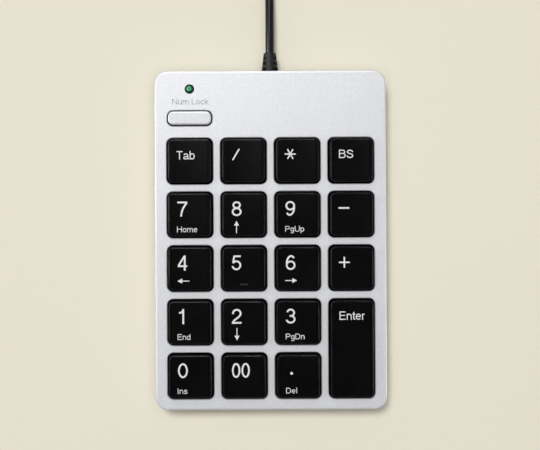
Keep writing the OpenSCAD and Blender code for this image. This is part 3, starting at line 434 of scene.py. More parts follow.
def make_materials():
    kinds = {}
    for name, (colour, worn, *rest) in GRAINED.items():
        kinds[name] = grained(name, rgb(*colour), rgb(*worn), *rest)
    for name, (colour, dull, rough, lines) in DRAWN.items():
        values = {"Colour": rgb(*colour), "Dull colour": rgb(*dull), "Line scale": lines, "Roughness": rough}
        kinds[name] = material_with(name, BRUSH, values, 0.15, 0.01)
    for name, (colour, flake, bare_and_shaded_level) in PAINTED.items():
        values = {"Colour": rgb(*colour), "Flake colour": rgb(*flake), "Flake size": FLAKE_SIZE,
                  "Roughness": PAINT_ROUGHNESS}
        kinds[name] = material_with(name, FLAKE, values, 0.08, 0.01)
        bare_and_shaded_below(kinds[name].node_tree, bare_and_shaded_level)
    for name, (clear, track, pitch) in FILMS.items():
        kinds[name] = patterned_film(name, rgb(*clear), rgb(*track), pitch)
    pattern_board(kinds["board_green"].node_tree)
    colour_wires(kinds["wire_insulation"].node_tree)
    paint_lamp_rings_and_light(kinds["lamp_green"].node_tree)
    return kinds


def recolour(tree, colour):
    tree.links.new(colour, tree.nodes["shader"].inputs["Base Color"])


def bare_and_shaded_below(tree, level):
    """Leaves a painted moulding's inside bare: dark plastic below a level, within the outer walls. The dark
    is partly bare plastic and partly painted shade in the gaps round the keys and the button.
    """
    place = split_place(tree)
    bare_and_shade_mask = math_node(tree, "LESS_THAN", place["Z"], level * MM)
    for axis, reach in zip("XY", WALLS_INSIDE):
        near = math_node(tree, "LESS_THAN", math_node(tree, "ABSOLUTE", place[axis]), reach * MM)
        bare_and_shade_mask = math_node(tree, "MULTIPLY", bare_and_shade_mask, near)
    # The dark colour: bare plastic, and painted shade in the gaps.
    recolour(tree, mix_node(tree, bare_and_shade_mask, tree.nodes["finish"].outputs["Colour"], rgb(26, 26, 27)))
    shine = math_node(tree, "MULTIPLY", math_node(tree, "SUBTRACT", 1.0, bare_and_shade_mask), PAINT_METAL)
    tree.links.new(shine, tree.nodes["shader"].inputs["Metallic"])


def patterned_film(name, clear, track, pitch):
    """Polyester film with conductive tracks printed side by side."""
    worn = tuple(part * 0.94 for part in clear[:3]) + (1,)
    made = grained(name, clear, worn, 0.22, 0.08, 1500.0, 50.0, 0.05, 0.01)
    tree = made.node_tree
    turn = math_node(tree, "FRACT", math_node(tree, "MULTIPLY", split_place(tree)["X"], 1 / (pitch * MM)))
    stripe = math_node(tree, "ABSOLUTE", math_node(tree, "SUBTRACT", turn, 0.5))
    mask = range_node(tree, stripe, 0.1, 0.14, 1.0, 0.0)
    recolour(tree, mix_node(tree, mask, tree.nodes["finish"].outputs["Colour"], track))
    return made


def pattern_board(tree):
    """Solder mask over copper tracks that run along the board."""
    bricks = tree.nodes.new("ShaderNodeTexBrick")
    pattern = {"Scale": 220.0, "Mortar Size": 0.05, "Color1": (0, 0, 0, 1), "Color2": (0.15, 0.15, 0.15, 1),
               "Mortar": (1, 1, 1, 1), "Vector": place_on_piece(tree)}
    for label, value in pattern.items():
        feed(tree, bricks.inputs[label], value)
    mask = tree.nodes["finish"].outputs["Colour"]
    recolour(tree, mix_node(tree, bricks.outputs["Color"], mask, rgb(64, 140, 74)))


def colour_wires(tree):
    """Four cores side by side: red, white, green and black, told apart by where they lie."""
    across = range_node(tree, split_place(tree)["X"], -WIRE_SPAN * MM, WIRE_SPAN * MM)
    stops = [(i / len(WIRE_COLOURS), rgb(*tint)) for i, tint in enumerate(WIRE_COLOURS)]
    core = ramp_node(tree, across, stops, "CONSTANT")
    grain = math_node(tree, "MULTIPLY", tree.nodes["finish"].outputs["Height"], 0.2)
    recolour(tree, mix_node(tree, grain, core, (0.02, 0.02, 0.02, 1)))


def paint_lamp_rings_and_light(tree):
    """Green resin round a small bright cup, painted as rings: a light ring round the deep green middle,
    partly the cup and partly a painted highlight, and dark at the rim, which is painted shade.
    """
    centre = tree.nodes.new("ShaderNodeMapping")
    centre.inputs["Location"].default_value = (-CUP_AND_HIGHLIGHT_AT[0] * MM, -CUP_AND_HIGHLIGHT_AT[1] * MM, 0)
    feed(tree, centre.inputs["Vector"], place_on_piece(tree))
    flat = tree.nodes.new("ShaderNodeVectorMath")
    flat.operation = "MULTIPLY"
    flat.inputs[1].default_value = (1, 1, 0)
    feed(tree, flat.inputs[0], centre.outputs["Vector"])
    far = tree.nodes.new("ShaderNodeVectorMath")
    far.operation = "LENGTH"
    feed(tree, far.inputs[0], flat.outputs["Vector"])
    outwards = range_node(tree, far.outputs["Value"], 0.0, CUP_REACH * MM)
    # The light ring is partly a painted highlight, and the dark outer colours are painted shade.
    resin_highlight_and_shade = ramp_node(tree, outwards, [(at, rgb(*tint)) for at, tint in CUP_HIGHLIGHT_AND_SHADE_COLOURS])
    grain = math_node(tree, "MULTIPLY", tree.nodes["finish"].outputs["Height"], 0.1)
    recolour(tree, mix_node(tree, grain, resin_highlight_and_shade, rgb(8, 48, 30)))


# ---------- the cord ----------

# The route goes through LEAD, counted from the boot's end, then round the coil in layers, outside in and back
# out, and through TAIL, counted from where the last turn ends.
CORD_RADIUS = 1.55
CORD_START = 67.0
CORD_HEIGHT = 5.6
LEAD = ((0, 0, 5.6), (0, 4, 5.6), (0, 9, 5.3), (0, 14, 4.7), (0, 18, 4), (0, 22, 3.2), (0.4, 27, 2.3),
        (1.7, 32, 1.8), (4, 37, 1.6), (6.3, 42, 1.6), (7.6, 47, 1.6), (8, 52, 1.6), (8, 57.5, 1.7),
        (8, 62.9, 2.05))
TAIL = ((0, 0, 12.7), (0, 4, 12.5), (0, 7, 12), (0.9, 11.5, 10.8), (3.5, 15.4, 9.1), (7.4, 18, 7.2),
        (12, 18.9, 5.3), (16.6, 18, 3.6), (20.5, 15.4, 2.4), (23.1, 11.5, 1.8), (24, 7, 2), (24, 3.5, 3),
        (24, 1, 3.7), (24, -2, 4))
COIL_CENTRE = (-13.875, 133.0)
COIL_INNER = 13.0
COIL_OUTER = 21.875
COIL_STEP = 3.55
COIL_FLOOR = 2.05
LAYER_LOOPS = 2.5
LAYERS = 4
CLIMB_LOOPS = 0.5
STEPS_PER_LOOP = 48
STEPS_PER_SPAN = 4


def eased(t):
    t = min(max(t, 0.0), 1.0)
    return t * t * (3 - 2 * t)


def wound_point(turn):
    """The place on the coil after so many turns. The cord climbs to the next layer over half a turn."""
    layer = min(int(turn / LAYER_LOOPS), LAYERS - 1)
    along = turn - layer * LAYER_LOOPS
    radius = COIL_OUTER - COIL_STEP * along if layer % 2 == 0 else COIL_INNER + COIL_STEP * along
    climbed = sum(eased((turn - k * LAYER_LOOPS) / CLIMB_LOOPS + 0.5) for k in range(1, LAYERS))
    angle = 2 * math.pi * turn
    return Vector((COIL_CENTRE[0] + radius * math.cos(angle), COIL_CENTRE[1] + radius * math.sin(angle),
                   COIL_FLOOR + COIL_STEP * climbed))


def smooth_through(points, steps):
    """Points along a smooth curve through the given ones."""
    found = []
    for i in range(len(points) - 1):
        before = points[max(i - 1, 0)]
        after = points[min(i + 2, len(points) - 1)]
        a, b = points[i], points[i + 1]
        for j in range(steps):
            t = j / steps
            found.append(0.5 * (2 * a + (b - before) * t + (2 * before - 5 * a + 4 * b - after) * t ** 2
                                + (3 * a - before - 3 * b + after) * t ** 3))
    return found + [points[-1]]


def cord_route():
    lead = [Vector((x, CORD_START + y, z)) for x, y, z in LEAD]
    leave = (COIL_CENTRE[0] + COIL_OUTER, COIL_CENTRE[1] + 2 * CORD_RADIUS)
    tail = [Vector((leave[0] + x, leave[1] + y, z)) for x, y, z in TAIL]
    turns = int(LAYERS * LAYER_LOOPS * STEPS_PER_LOOP)
    coil = [wound_point(i / STEPS_PER_LOOP) for i in range(turns + 1)]
    return smooth_through(lead, STEPS_PER_SPAN) + coil + smooth_through(tail, STEPS_PER_SPAN)


def lay_cord(material):
    route = cord_route()
    data = bpy.data.curves.new("cord", "CURVE")
    data.dimensions = "3D"
    data.bevel_depth = CORD_RADIUS * MM
    data.bevel_resolution = 6
    data.use_fill_caps = True
    data.materials.append(material)
    spline = data.splines.new("POLY")
    spline.points.add(len(route) - 1)
    for point, place in zip(spline.points, route):
        point.co = (place.x * MM, place.y * MM, place.z * MM, 1)
    cord = set_down("cord", data)
    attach(cord, "housing")
    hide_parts("cord_lead", "cord_coil", "cord_tail")
    return cord


# ---------- modelling steps ----------

# Two faces shade smoothly below the angle. The lengths are in metres: an edge rises or leans only by more
# than LEVEL, points nearer than ONE_POINT are one, and FINE_CUT is how near a point is when it lies on a cut.
SMOOTH_BELOW = math.radians(38)
LEVEL = 1e-5
ONE_POINT = 1e-6
FINE_CUT = 1e-7


def leave_editing():
    if bpy.context.mode != "OBJECT":
        bpy.ops.object.mode_set(mode="OBJECT")
    bpy.ops.object.select_all(action="DESELECT")


def take_up(thing):
    """Selects one object alone and makes it the active one."""
    leave_editing()
    thing.select_set(True)
    bpy.context.view_layer.objects.active = thing


def place_in_mesh():
    """Moves the new primitive's place, turn and size into its mesh."""
    bpy.ops.object.transform_apply(location=True, rotation=True, scale=True)
    return bpy.context.active_object


def start_block(name, low, high):
    """A box between two corners, the start of a piece. It is left in edit mode."""
    leave_editing()
    middle = [(a + b) / 2 * MM for a, b in zip(low, high)]
    size = [(b - a) * MM for a, b in zip(low, high)]
    bpy.ops.mesh.primitive_cube_add(size=1, location=middle, scale=size)
    made = place_in_mesh()
    made.name = name
    bpy.ops.object.mode_set(mode="EDIT")
    return made


def pick(kind, wanted):
    """Selects only those vertices, edges or faces of the mesh being edited that are wanted."""
    bpy.ops.mesh.select_mode(type={"verts": "VERT", "edges": "EDGE", "faces": "FACE"}[kind])
    bpy.ops.mesh.select_all(action="DESELECT")
    mesh = bmesh.from_edit_mesh(bpy.context.edit_object.data)
    for part in getattr(mesh, kind):
        if wanted(part):
            part.select_set(True)
    bmesh.update_edit_mesh(bpy.context.edit_object.data)


def upright(edge):
    one, other = (vert.co for vert in edge.verts)
    return abs(one.z - other.z) > LEVEL and (one.xy - other.xy).length < LEVEL


def round_uprights(radius, facets):
    pick("edges", upright)
    bpy.ops.mesh.bevel(offset=radius * MM, segments=facets, affect="EDGES")


def cut_all(place, across):
    """Cuts the whole mesh along a plane, without taking anything away."""
    bpy.ops.mesh.select_all(action="SELECT")
    bpy.ops.mesh.bisect(plane_co=[value * MM for value in place], plane_no=across, threshold=FINE_CUT)


def hollow_from_below(wall, roof, shrink_x, shrink_y):
    """Insets the lowest faces by a wall and pushes them up to a roof, which is a little smaller."""
    pick("faces", lambda face: face.normal.z < -0.9)
    bpy.ops.mesh.inset(thickness=wall * MM)
    mesh = bmesh.from_edit_mesh(bpy.context.edit_object.data)
    foot = min(v.co.z for v in mesh.verts)
    bpy.ops.mesh.extrude_region_move(TRANSFORM_OT_translate={"value": (0, 0, roof * MM - foot)})
    bpy.ops.transform.resize(value=(shrink_x, shrink_y, 1), center_override=(0, 0, 0))


def join_as(name, parts):
    """Joins the parts into one mesh with its faces outwards and its shallow angles smooth."""
    take_up(parts[0])
    for part in parts[1:]:
        part.select_set(True)
    if len(parts) > 1:
        bpy.ops.object.join()
    whole = bpy.context.active_object
    whole.name = name
    bpy.ops.object.mode_set(mode="EDIT")
    bpy.ops.mesh.select_all(action="SELECT")
    bpy.ops.mesh.normals_make_consistent(inside=False)
    take_up(whole)
    bpy.ops.object.shade_smooth_by_angle(angle=SMOOTH_BELOW)
    even = whole.modifiers.new("even_shading", "WEIGHTED_NORMAL")
    even.keep_sharp = True
    bpy.ops.object.modifier_apply(modifier=even.name)
    return whole


def copy_at(master, name, centre, material):
    """A copy of a modelled piece with its own mesh, set down at a place on the plan."""
    data = master.data.copy()
    data.name = name
    data.transform(Matrix.Translation((centre[0] * MM, centre[1] * MM, 0)))
    data.materials.clear()
    data.materials.append(material)
    return set_down(name, data)


# ---------- key caps ----------

# Widths are taken at the foot. A lean is how far each side draws in up to the top. SUNK is how far a part
# that is joined to another reaches into it. LONG_RIB is a rib's half length, half width and foot.
KEY_SIDE = 15.8
LONG_KEY = 34.8
KEY_FOOT = 8.1
KEY_ROOF = 12.5
KEY_WALL = 0.9
KEY_CORNER = 1.8
KEY_LEAN = 0.485
INSIDE_LEAN = 0.45
KEY_FILLET = 0.42
DISH_STRIPS = 12
SUNK = 0.1
STEM_SIDE = 6.3
STEM_FOOT = 7.4
STEM_WALL = 0.9
STEM_CORNER = 0.5
RIB_HALF = 0.45
LONG_RIB = (6.9, 0.4, 11.5)
LONG_RIBS_AT = 5.8
HOOK_LEVELS = (8.05, 8.41, 8.85)
HOOK_REACH = 0.55
HOOK_HALF = 1.0


def make_shell(depth):
    """The moulded shell: leaning sides, hollow below, a shallow dish on top and a rounded rim."""
    half_width, half_depth = KEY_SIDE / 2, depth / 2
    shell = start_block("shell", (-half_width, -half_depth, KEY_FOOT), (half_width, half_depth, KEY_TOP))
    round_uprights(KEY_CORNER, 6)
    inside = KEY_SIDE - 2 * KEY_WALL, depth - 2 * KEY_WALL
    hollow_from_below(KEY_WALL, KEY_ROOF, 1 - 2 * INSIDE_LEAN / inside[0], 1 - 2 * INSIDE_LEAN / inside[1])
    pick("verts", on_top)
    drawn_in = 1 - 2 * KEY_LEAN / KEY_SIDE, 1 - 2 * KEY_LEAN / depth, 1
    bpy.ops.transform.resize(value=drawn_in, center_override=(0, 0, 0))
    for i in range(DISH_STRIPS + 1):
        cut_all(((2 * i / DISH_STRIPS - 1) * DISH_HALF, 0, 0), (1, 0, 0))
    mesh = bmesh.from_edit_mesh(shell.data)
    for vert in filter(on_top, mesh.verts):
        vert.co.z = dished(vert.co.x / MM) * MM
    mesh.normal_update()
    bmesh.update_edit_mesh(shell.data)
    pick("edges", on_rim)
    bpy.ops.mesh.bevel(offset=KEY_FILLET * MM, segments=4, affect="EDGES")
    return shell


def on_top(vert):
    return vert.co.z > (KEY_TOP - 0.1) * MM


def on_rim(edge):
    """True on the edges where the dished top meets the sides."""
    if len(edge.link_faces) != 2 or min(v.co.z for v in edge.verts) < (KEY_TOP - 2 * DISH_DEPTH) * MM:
        return False
    slopes = sorted(face.normal.z for face in edge.link_faces)
    return slopes[0] < 0.5 and slopes[1] > 0.9


def make_stem():
    """A square hollow stem with crossed ribs and a snap hook on two sides."""
    half = STEM_SIDE / 2
    tube = start_block("tube", (-half, -half, STEM_FOOT), (half, half, KEY_ROOF + SUNK))
    round_uprights(STEM_CORNER, 3)
    hollow_from_below(STEM_WALL, KEY_ROOF, 1, 1)
    across = half - STEM_WALL / 2
    ribs = [start_block("rib", (-x, -y, STEM_FOOT + lift), (x, y, KEY_ROOF + SUNK / 2))
            for x, y, lift in ((across, RIB_HALF, 0.02), (RIB_HALF, across, 0.04))]
    return [tube] + ribs + [make_hook(side) for side in (-1, 1)]


def make_hook(side):
    """A snap hook on one side of the stem: a slope below, a straight nose above."""
    near, far = side * (STEM_SIDE / 2 - SUNK / 2), side * (STEM_SIDE / 2 + HOOK_REACH)
    foot, nose, top = HOOK_LEVELS
    hook = start_block("hook", (min(near, far), -HOOK_HALF, foot), (max(near, far), HOOK_HALF, top))
    cut_all((0, 0, nose), (0, 0, 1))
    pick("verts", lambda vert: vert.co.z < (foot + 0.05) * MM and abs(vert.co.x - far * MM) < ONE_POINT)
    bpy.ops.transform.translate(value=(-side * HOOK_REACH * MM, 0, 0))
    return hook


# The ears of the double key: where they are from its middle, and their open slots.
EAR_AT = (-1.05, 10.5)
EAR_HALF = 1.55
EAR_THICK = 1.4
EAR_FOOT = 8.0
EAR_SLOT = 9.2
SLOT_RADIUS = 0.6
SLOT_PLAY = 0.15
SLOT_MOUTH = 0.4


def make_ear(y):
    """An ear with an open slot, in which the wire's end turns and slides a little."""
    lowest = EAR_SLOT - math.sqrt(SLOT_RADIUS ** 2 - (SLOT_MOUTH - SLOT_PLAY) ** 2)
    start = math.degrees(math.atan2(lowest - EAR_SLOT, SLOT_PLAY - SLOT_MOUTH))
    left = arc(-SLOT_PLAY, EAR_SLOT, SLOT_RADIUS, SLOT_RADIUS, start % 360, 90, 9)
    right = [(-x, z) for x, z in reversed(left)]
    top = KEY_ROOF + SUNK
    outline = [(-EAR_HALF, EAR_FOOT), (-SLOT_MOUTH, EAR_FOOT)] + left + right
    outline += [(SLOT_MOUTH, EAR_FOOT), (EAR_HALF, EAR_FOOT), (EAR_HALF, top), (-EAR_HALF, top)]
    data = bpy.data.meshes.new("ear")
    side = [((EAR_AT[0] + x) * MM, (y - EAR_THICK / 2) * MM, z * MM) for x, z in outline]
    data.from_pydata(side, [], [list(range(len(side)))])
    made = set_down("ear", data)
    take_up(made)
    bpy.ops.object.mode_set(mode="EDIT")
    bpy.ops.mesh.select_all(action="SELECT")
    bpy.ops.mesh.extrude_region_move(TRANSFORM_OT_translate={"value": (0, EAR_THICK * MM, 0)})
    return made


HOME_BAR = (0, -5.6, 13.55)
BAR_RADIUS = 0.25
BAR_LONG = 2.8
BAR_ROUNDING = 0.15


def make_home_bar():
    """The short raised bar that the fingers find on the middle key."""
    leave_editing()
    middle = [value * MM for value in HOME_BAR]
    bpy.ops.mesh.primitive_cylinder_add(vertices=20, radius=BAR_RADIUS * MM, depth=BAR_LONG * MM,
                                        location=middle, rotation=(0, math.pi / 2, 0))
    bar = place_in_mesh()
    bpy.ops.object.mode_set(mode="EDIT")
    pick("edges", lambda edge: abs(edge.verts[0].co.x - edge.verts[1].co.x) < ONE_POINT)
    bpy.ops.mesh.bevel(offset=BAR_ROUNDING * MM, segments=3, affect="EDGES")
    return bar


def make_key_caps(kinds):
    """One single key and the double key are modelled, and copied to their places."""
    single = join_as("single_key", [make_shell(KEY_SIDE)] + make_stem())
    home = join_as("home_bar", [make_home_bar()])
    half, thin, foot = LONG_RIB
    ribs = [start_block("rib", (-half, y - thin, foot), (half, y + thin, KEY_ROOF + SUNK / 2))
            for y in (-LONG_RIBS_AT, LONG_RIBS_AT)]
    parts = [make_shell(LONG_KEY)] + make_stem() + ribs + [make_ear(y) for y in (-EAR_AT[1], EAR_AT[1])]
    long = join_as("long_key", parts)
    for name, centre in key_places().items():
        cap = copy_at(long if name == "key_enter" else single, name + "_cap", centre, kinds["key_black"])
        if name == "key_5":
            # The bar is lighter than the key: partly rubbed, partly a painted highlight.
            bar = copy_at(home, "bar", centre, kinds["worn_black"])
            cap = join_as(cap.name, [cap, bar])
        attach(cap, name)
        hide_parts(name)
    for master in (single, home, long):
        bpy.data.objects.remove(master)


# ---------- lock button ----------

# FEET is how far in from the ends the two feet stand, their half width and their height.
BUTTON_AT = (-28.5, 43.3)
BUTTON_SIZE = (15.2, 4.7)
BUTTON_CORNER = 1.75
BUTTON_TOP = 11.9
BUTTON_FILLET = 0.55
FLANGE_LEVELS = (8.3, 9.1)
FLANGE_REACH = 1.05
PIN_RADIUS = 2.0
FEET = (1.2, 0.4, 0.5)


def make_button(kinds):
    """The small painted button: pillowed edges, the flange that keeps it in, its pin and two feet."""
    x, y = (side / 2 for side in BUTTON_SIZE)
    foot, top = FLANGE_LEVELS
    cap = start_block("cap", (-x, -y, top - SUNK), (x, y, BUTTON_TOP))
    round_uprights(BUTTON_CORNER, 8)
    pick("edges", lambda edge: min(v.co.z for v in edge.verts) > (BUTTON_TOP - 0.01) * MM)
    bpy.ops.mesh.bevel(offset=BUTTON_FILLET * MM, segments=6, affect="EDGES")
    wide, long = x + FLANGE_REACH, y + FLANGE_REACH
    flange = start_block("flange", (-wide, -long, foot), (wide, long, top))
    round_uprights(BUTTON_CORNER, 6)
    leave_editing()
    pin_top = foot + SUNK
    bpy.ops.mesh.primitive_cylinder_add(vertices=40, radius=PIN_RADIUS * MM, depth=(pin_top - STEM_FOOT) * MM,
                                        location=(0, 0, (pin_top + STEM_FOOT) / 2 * MM))
    pin = place_in_mesh()
    inset, thin, tall = FEET
    feet = [start_block("foot", (middle - thin, -y, foot - tall), (middle + thin, y, foot + SUNK / 2))
            for middle in (inset - x, x - inset)]
    master = join_as("button", [cap, flange, pin] + feet)
    button = copy_at(master, "lock_button_cap", BUTTON_AT, kinds["button_paint"])
    bpy.data.objects.remove(master)
    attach(button, "lock_button")
    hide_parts("lock_button")


# ---------- rubber domes ----------

# DOME_CUT is where a dome is parted from its sheet.
DOME_CUT = 4.25
CLOSE_BY = 6.0


def part_of_domes(name, keep_upper):
    """A copy of the rubber sheet's mesh, merged and cut level just above the flat sheet."""
    made = set_down(name, frame["nodes"]["dome_sheet"].data.copy())
    take_up(made)
    bpy.ops.object.mode_set(mode="EDIT")
    bpy.ops.mesh.select_all(action="SELECT")
    bpy.ops.mesh.remove_doubles(threshold=ONE_POINT)
    cut_all((0, 0, DOME_CUT), (0, 0, 1))
    sign = -1 if keep_upper else 1
    pick("verts", lambda vert: sign * (vert.co.z - DOME_CUT * MM) > ONE_POINT)
    bpy.ops.mesh.delete(type="VERT")
    return made


def close_ring(centre):
    """Joins the inner and the outer loop that the cut left round one dome."""
    where = Vector((centre[0] * MM, centre[1] * MM))
    pick("edges", lambda edge: edge.is_boundary and (edge.verts[0].co.xy - where).length < CLOSE_BY * MM)
    bpy.ops.mesh.bridge_edge_loops()


def make_domes(kinds):
    """The flat sheet, and each dome as a soft piece of its own under its key."""
    places = dict(key_places(), lock_button=BUTTON_AT)
    sheet = part_of_domes("rubber_sheet", False)
    for centre in places.values():
        close_ring(centre)
    leave_editing()
    finish_rubber(sheet, kinds)
    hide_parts("dome_sheet")
    part_of_domes("rubber_dome", True)
    for centre in places.values():
        close_ring(centre)
    bpy.ops.mesh.separate(type="LOOSE")
    leave_editing()
    loose = [thing for thing in bpy.data.objects if thing.name.startswith("rubber_dome")]
    for name, centre in places.items():
        dome = min(loose, key=lambda thing: math.dist(middle_of(thing), (centre[0] * MM, centre[1] * MM)))
        dome.name = name + "_dome"
        finish_rubber(dome, kinds)
        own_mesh(dome)


def middle_of(thing):
    """The middle of a piece on the plan."""
    places = [vert.co for vert in thing.data.vertices]
    return [(min(p[i] for p in places) + max(p[i] for p in places)) / 2 for i in (0, 1)]


def finish_rubber(piece, kinds):
    piece.data.materials.clear()
    piece.data.materials.append(kinds["dome_rubber"])
    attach(piece, "housing")


# ---------- strain relief ----------

# The boot runs from RELIEF_START to the cord's start. Its pockets lie each side of a spine, above and below.
# FLANGE is the flange's two ends and its radius.
RELIEF_START = 60.05
RELIEF_FOOT = 3.05
RELIEF_TIP = 2.2
RELIEF_SPINE = 0.62
POCKETS_AT = (61.15, 63.1, 65.05)
POCKET_LONG = 0.95
POCKET_FLOOR = 0.35
PAST_THE_BOOT = 4.0
CORE_RADIUS = 1.7
CORE_INSET = 0.2
NECK_RADIUS = 2.2
FLANGE = (55.8, 57.3, 3.1)
BOOT_ROUNDING = 0.09


def lathe_piece(name, rings):
    """A round piece along the cord's axis, from rings of (place, radius): one cylinder after another."""
    parts = []
    for (start, first), (end, second) in zip(rings, rings[1:]):
        leave_editing()
        middle = (0, (start + end) / 2 * MM, CORD_HEIGHT * MM)
        long = (end - start) * MM
        bpy.ops.mesh.primitive_cone_add(vertices=64, radius1=first * MM, radius2=second * MM, depth=long,
                                        location=middle, rotation=(-math.pi / 2, 0, 0))
        parts.append(place_in_mesh())
    return parts


def pocket_cutters():
    """Blocks that cut the boot's pockets, each from the spine and the pocket's floor outwards."""
    cutters = []
    for place in POCKETS_AT:
        for side in (-1, 1):
            for up in (-1, 1):
                x = sorted((side * RELIEF_SPINE, side * PAST_THE_BOOT))
                z = sorted((up * POCKET_FLOOR, up * PAST_THE_BOOT))
                low = (x[0], place - POCKET_LONG / 2, CORD_HEIGHT + z[0])
                high = (x[1], place + POCKET_LONG / 2, CORD_HEIGHT + z[1])
                cutters.append(start_block("cutter", low, high))
    return cutters


def make_relief(material):
    """The boot on the cord, a straight taper with its pockets, and its neck and flange in the wall."""
    boot = lathe_piece("boot", ((RELIEF_START, RELIEF_FOOT), (CORD_START, RELIEF_TIP)))[0]
    cutters = pocket_cutters()
    core_ends = (RELIEF_START + CORE_INSET, CORD_START - CORE_INSET)
    core = lathe_piece("core", [(end, CORE_RADIUS) for end in core_ends])
    block = join_as("cutters", cutters)
    take_up(boot)
    cut = boot.modifiers.new("pockets", "BOOLEAN")
    cut.object = block
    cut.operation = "DIFFERENCE"
    bpy.ops.object.modifier_apply(modifier=cut.name)
    soften = boot.modifiers.new("soft_edges", "BEVEL")
    soften.width = BOOT_ROUNDING * MM
    soften.segments = 2
    soften.limit_method = "ANGLE"
    bpy.ops.object.modifier_apply(modifier=soften.name)
    bpy.data.objects.remove(block)
    inner, outer, reach = FLANGE
    neck = lathe_piece("neck", ((outer - SUNK, NECK_RADIUS), (RELIEF_START + SUNK, NECK_RADIUS)))
    flange = lathe_piece("flange", ((inner, reach), (outer, reach)))
    whole = join_as("cord_boot", [boot] + core + neck + flange)
    whole.data.materials.clear()
    whole.data.materials.append(material)
    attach(whole, "housing")
    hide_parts("strain_relief")
    return whole


# ---------- tie round the wound cord ----------

# Lengths across the coil are counted from its middle. The band runs round the bundle, and its two ends are
# twisted.
TIE_THICK = 0.4
TIE_WIDTH = 2.4
TIE_REACH = (11.2, 21.9)
TIE_HEIGHT = (0.05, 14.75)
TIE_CORNER = 1.75
TIE_STEP = 0.7
TIE_WAVE = 0.12
TIE_END = 4.6
TIE_END_WIDE = 1.1
TIE_END_THICK = 0.35
TIE_END_HEIGHT = 8.6
TWIST_STEPS = 32
TWISTED_PART = 0.5
HALF_TWISTS = 2.6
ENDS_APART = (0.3, 1.3)
TIE_SMOOTH_BELOW = math.radians(50)
HALF_PROFILE = ((-0.5, -0.32), (-0.42, -0.5), (0.42, -0.5), (0.5, -0.32))
STRIP_PROFILE = HALF_PROFILE + tuple((-a, -b) for a, b in HALF_PROFILE)


def in_turn(rings, closed):
    """Each ring of points with the next one, and the last with the first where the line is closed."""
    return list(zip(rings, rings[1:])) + ([(rings[-1], rings[0])] if closed else [])


def strip(mesh, frames, wide, thick, closed):
    """A flat strip through frames of (middle, sideways, outwards), with faintly rounded edges."""
    rings = [[mesh.verts.new((middle + side * wide * a + out * thick * b) * MM) for a, b in STRIP_PROFILE]
             for middle, side, out in frames]
    for first, second in in_turn(rings, closed):
        for i in range(len(first)):
            j = (i + 1) % len(first)
            mesh.faces.new((first[i], first[j], second[j], second[i]))
    if not closed:
        mesh.faces.new(rings[0][::-1])
        mesh.faces.new(rings[-1])


def tie_band():
    """Frames of the band, which hugs the bundle's rounded outline and waves a little as a soft tie does."""
    low, high = TIE_HEIGHT[0] + TIE_THICK / 2, TIE_HEIGHT[1] - TIE_THICK / 2
    near, far = TIE_REACH
    corners = ((far, high, 0), (near, high, 90), (near, low, 180), (far, low, 270))
    outline = []
    for x, z, start in corners:
        cx = x - TIE_CORNER if x == far else x + TIE_CORNER
        cz = z - TIE_CORNER if z == high else z + TIE_CORNER
        outline += arc(cx, cz, TIE_CORNER, TIE_CORNER, start, start + 90, 8)
    dense = []
    for a, b in zip(outline, outline[1:] + outline[:1]):
        steps = max(1, int(math.dist(a, b) / TIE_STEP))
        dense += [(a[0] + (b[0] - a[0]) * i / steps, a[1] + (b[1] - a[1]) * i / steps) for i in range(steps)]
    frames = []
    for i, (x, z) in enumerate(dense):
        before, after = dense[i - 1], dense[(i + 1) % len(dense)]
        along = Vector((after[0] - before[0], 0, after[1] - before[1])).normalized()
        lean = TIE_WAVE * math.sin(i * 0.35)
        frames.append((Vector((x, lean, z)), Vector((0, 1, 0)), Vector((along.z, 0, -along.x))))
    return frames


def tie_tail(turn):
    """One twisted end of the tie: half of a short twist, then a loose tongue."""
    frames = []
    for i in range(TWIST_STEPS + 1):
        t = i / TWIST_STEPS
        angle = math.pi * turn + min(t / TWISTED_PART, 1.0) * HALF_TWISTS * math.pi
        off = ENDS_APART[0] + ENDS_APART[1] * eased((t - TWISTED_PART) / (1 - TWISTED_PART))
        swing = Vector((0, math.cos(angle), math.sin(angle)))
        middle = Vector((TIE_REACH[1] + 0.1 + TIE_END * t, 0, TIE_END_HEIGHT)) + swing * off
        frames.append((middle, Vector((0, -math.sin(angle), math.cos(angle))), swing))
    return frames


def make_tie(material):
    """The tie stands on the coil's side that faces left."""
    mesh = bmesh.new()
    strip(mesh, tie_band(), TIE_WIDTH, TIE_THICK, True)
    for turn in (0, 1):
        strip(mesh, tie_tail(turn), TIE_END_WIDE, TIE_END_THICK, False)
    bmesh.ops.recalc_face_normals(mesh, faces=mesh.faces)
    data = bpy.data.meshes.new("soft_tie")
    mesh.to_mesh(data)
    mesh.free()
    to_coil = Matrix.Translation((COIL_CENTRE[0] * MM, COIL_CENTRE[1] * MM, 0))
    data.transform(to_coil @ Matrix.Rotation(math.pi, 4, "Z"))
    data.materials.append(material)
    tie = set_down("soft_tie", data)
    take_up(tie)
    bpy.ops.object.shade_smooth_by_angle(angle=TIE_SMOOTH_BELOW)
    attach(tie, "housing")
    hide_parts("cord_tie")
    return tie


# ---------- signs on the keys ----------

# STROKE is a digit's line, LETTER_STROKE a letter's as a share of its capital. The print stands PRINT_ABOVE
# over the surface and reaches PRINT_BELOW into it.
STROKE = 0.61
LETTER_STROKE = 0.118
PRINT_ABOVE = 0.03
PRINT_BELOW = 0.02


def arc(cx, cy, rx, ry, start, end, steps=12):
    """Points along an oval's arc, between two angles in degrees."""
    return [(cx + rx * math.cos(math.radians(start + (end - start) * i / steps)),
             cy + ry * math.sin(math.radians(start + (end - start) * i / steps))) for i in range(steps + 1)]


def bowl(cx, cy, rx, ry, steps=18):
    """A closed oval line."""
    return arc(cx, cy, rx, ry, 0, 360, steps)[:-1] + [(cx + rx, cy)]


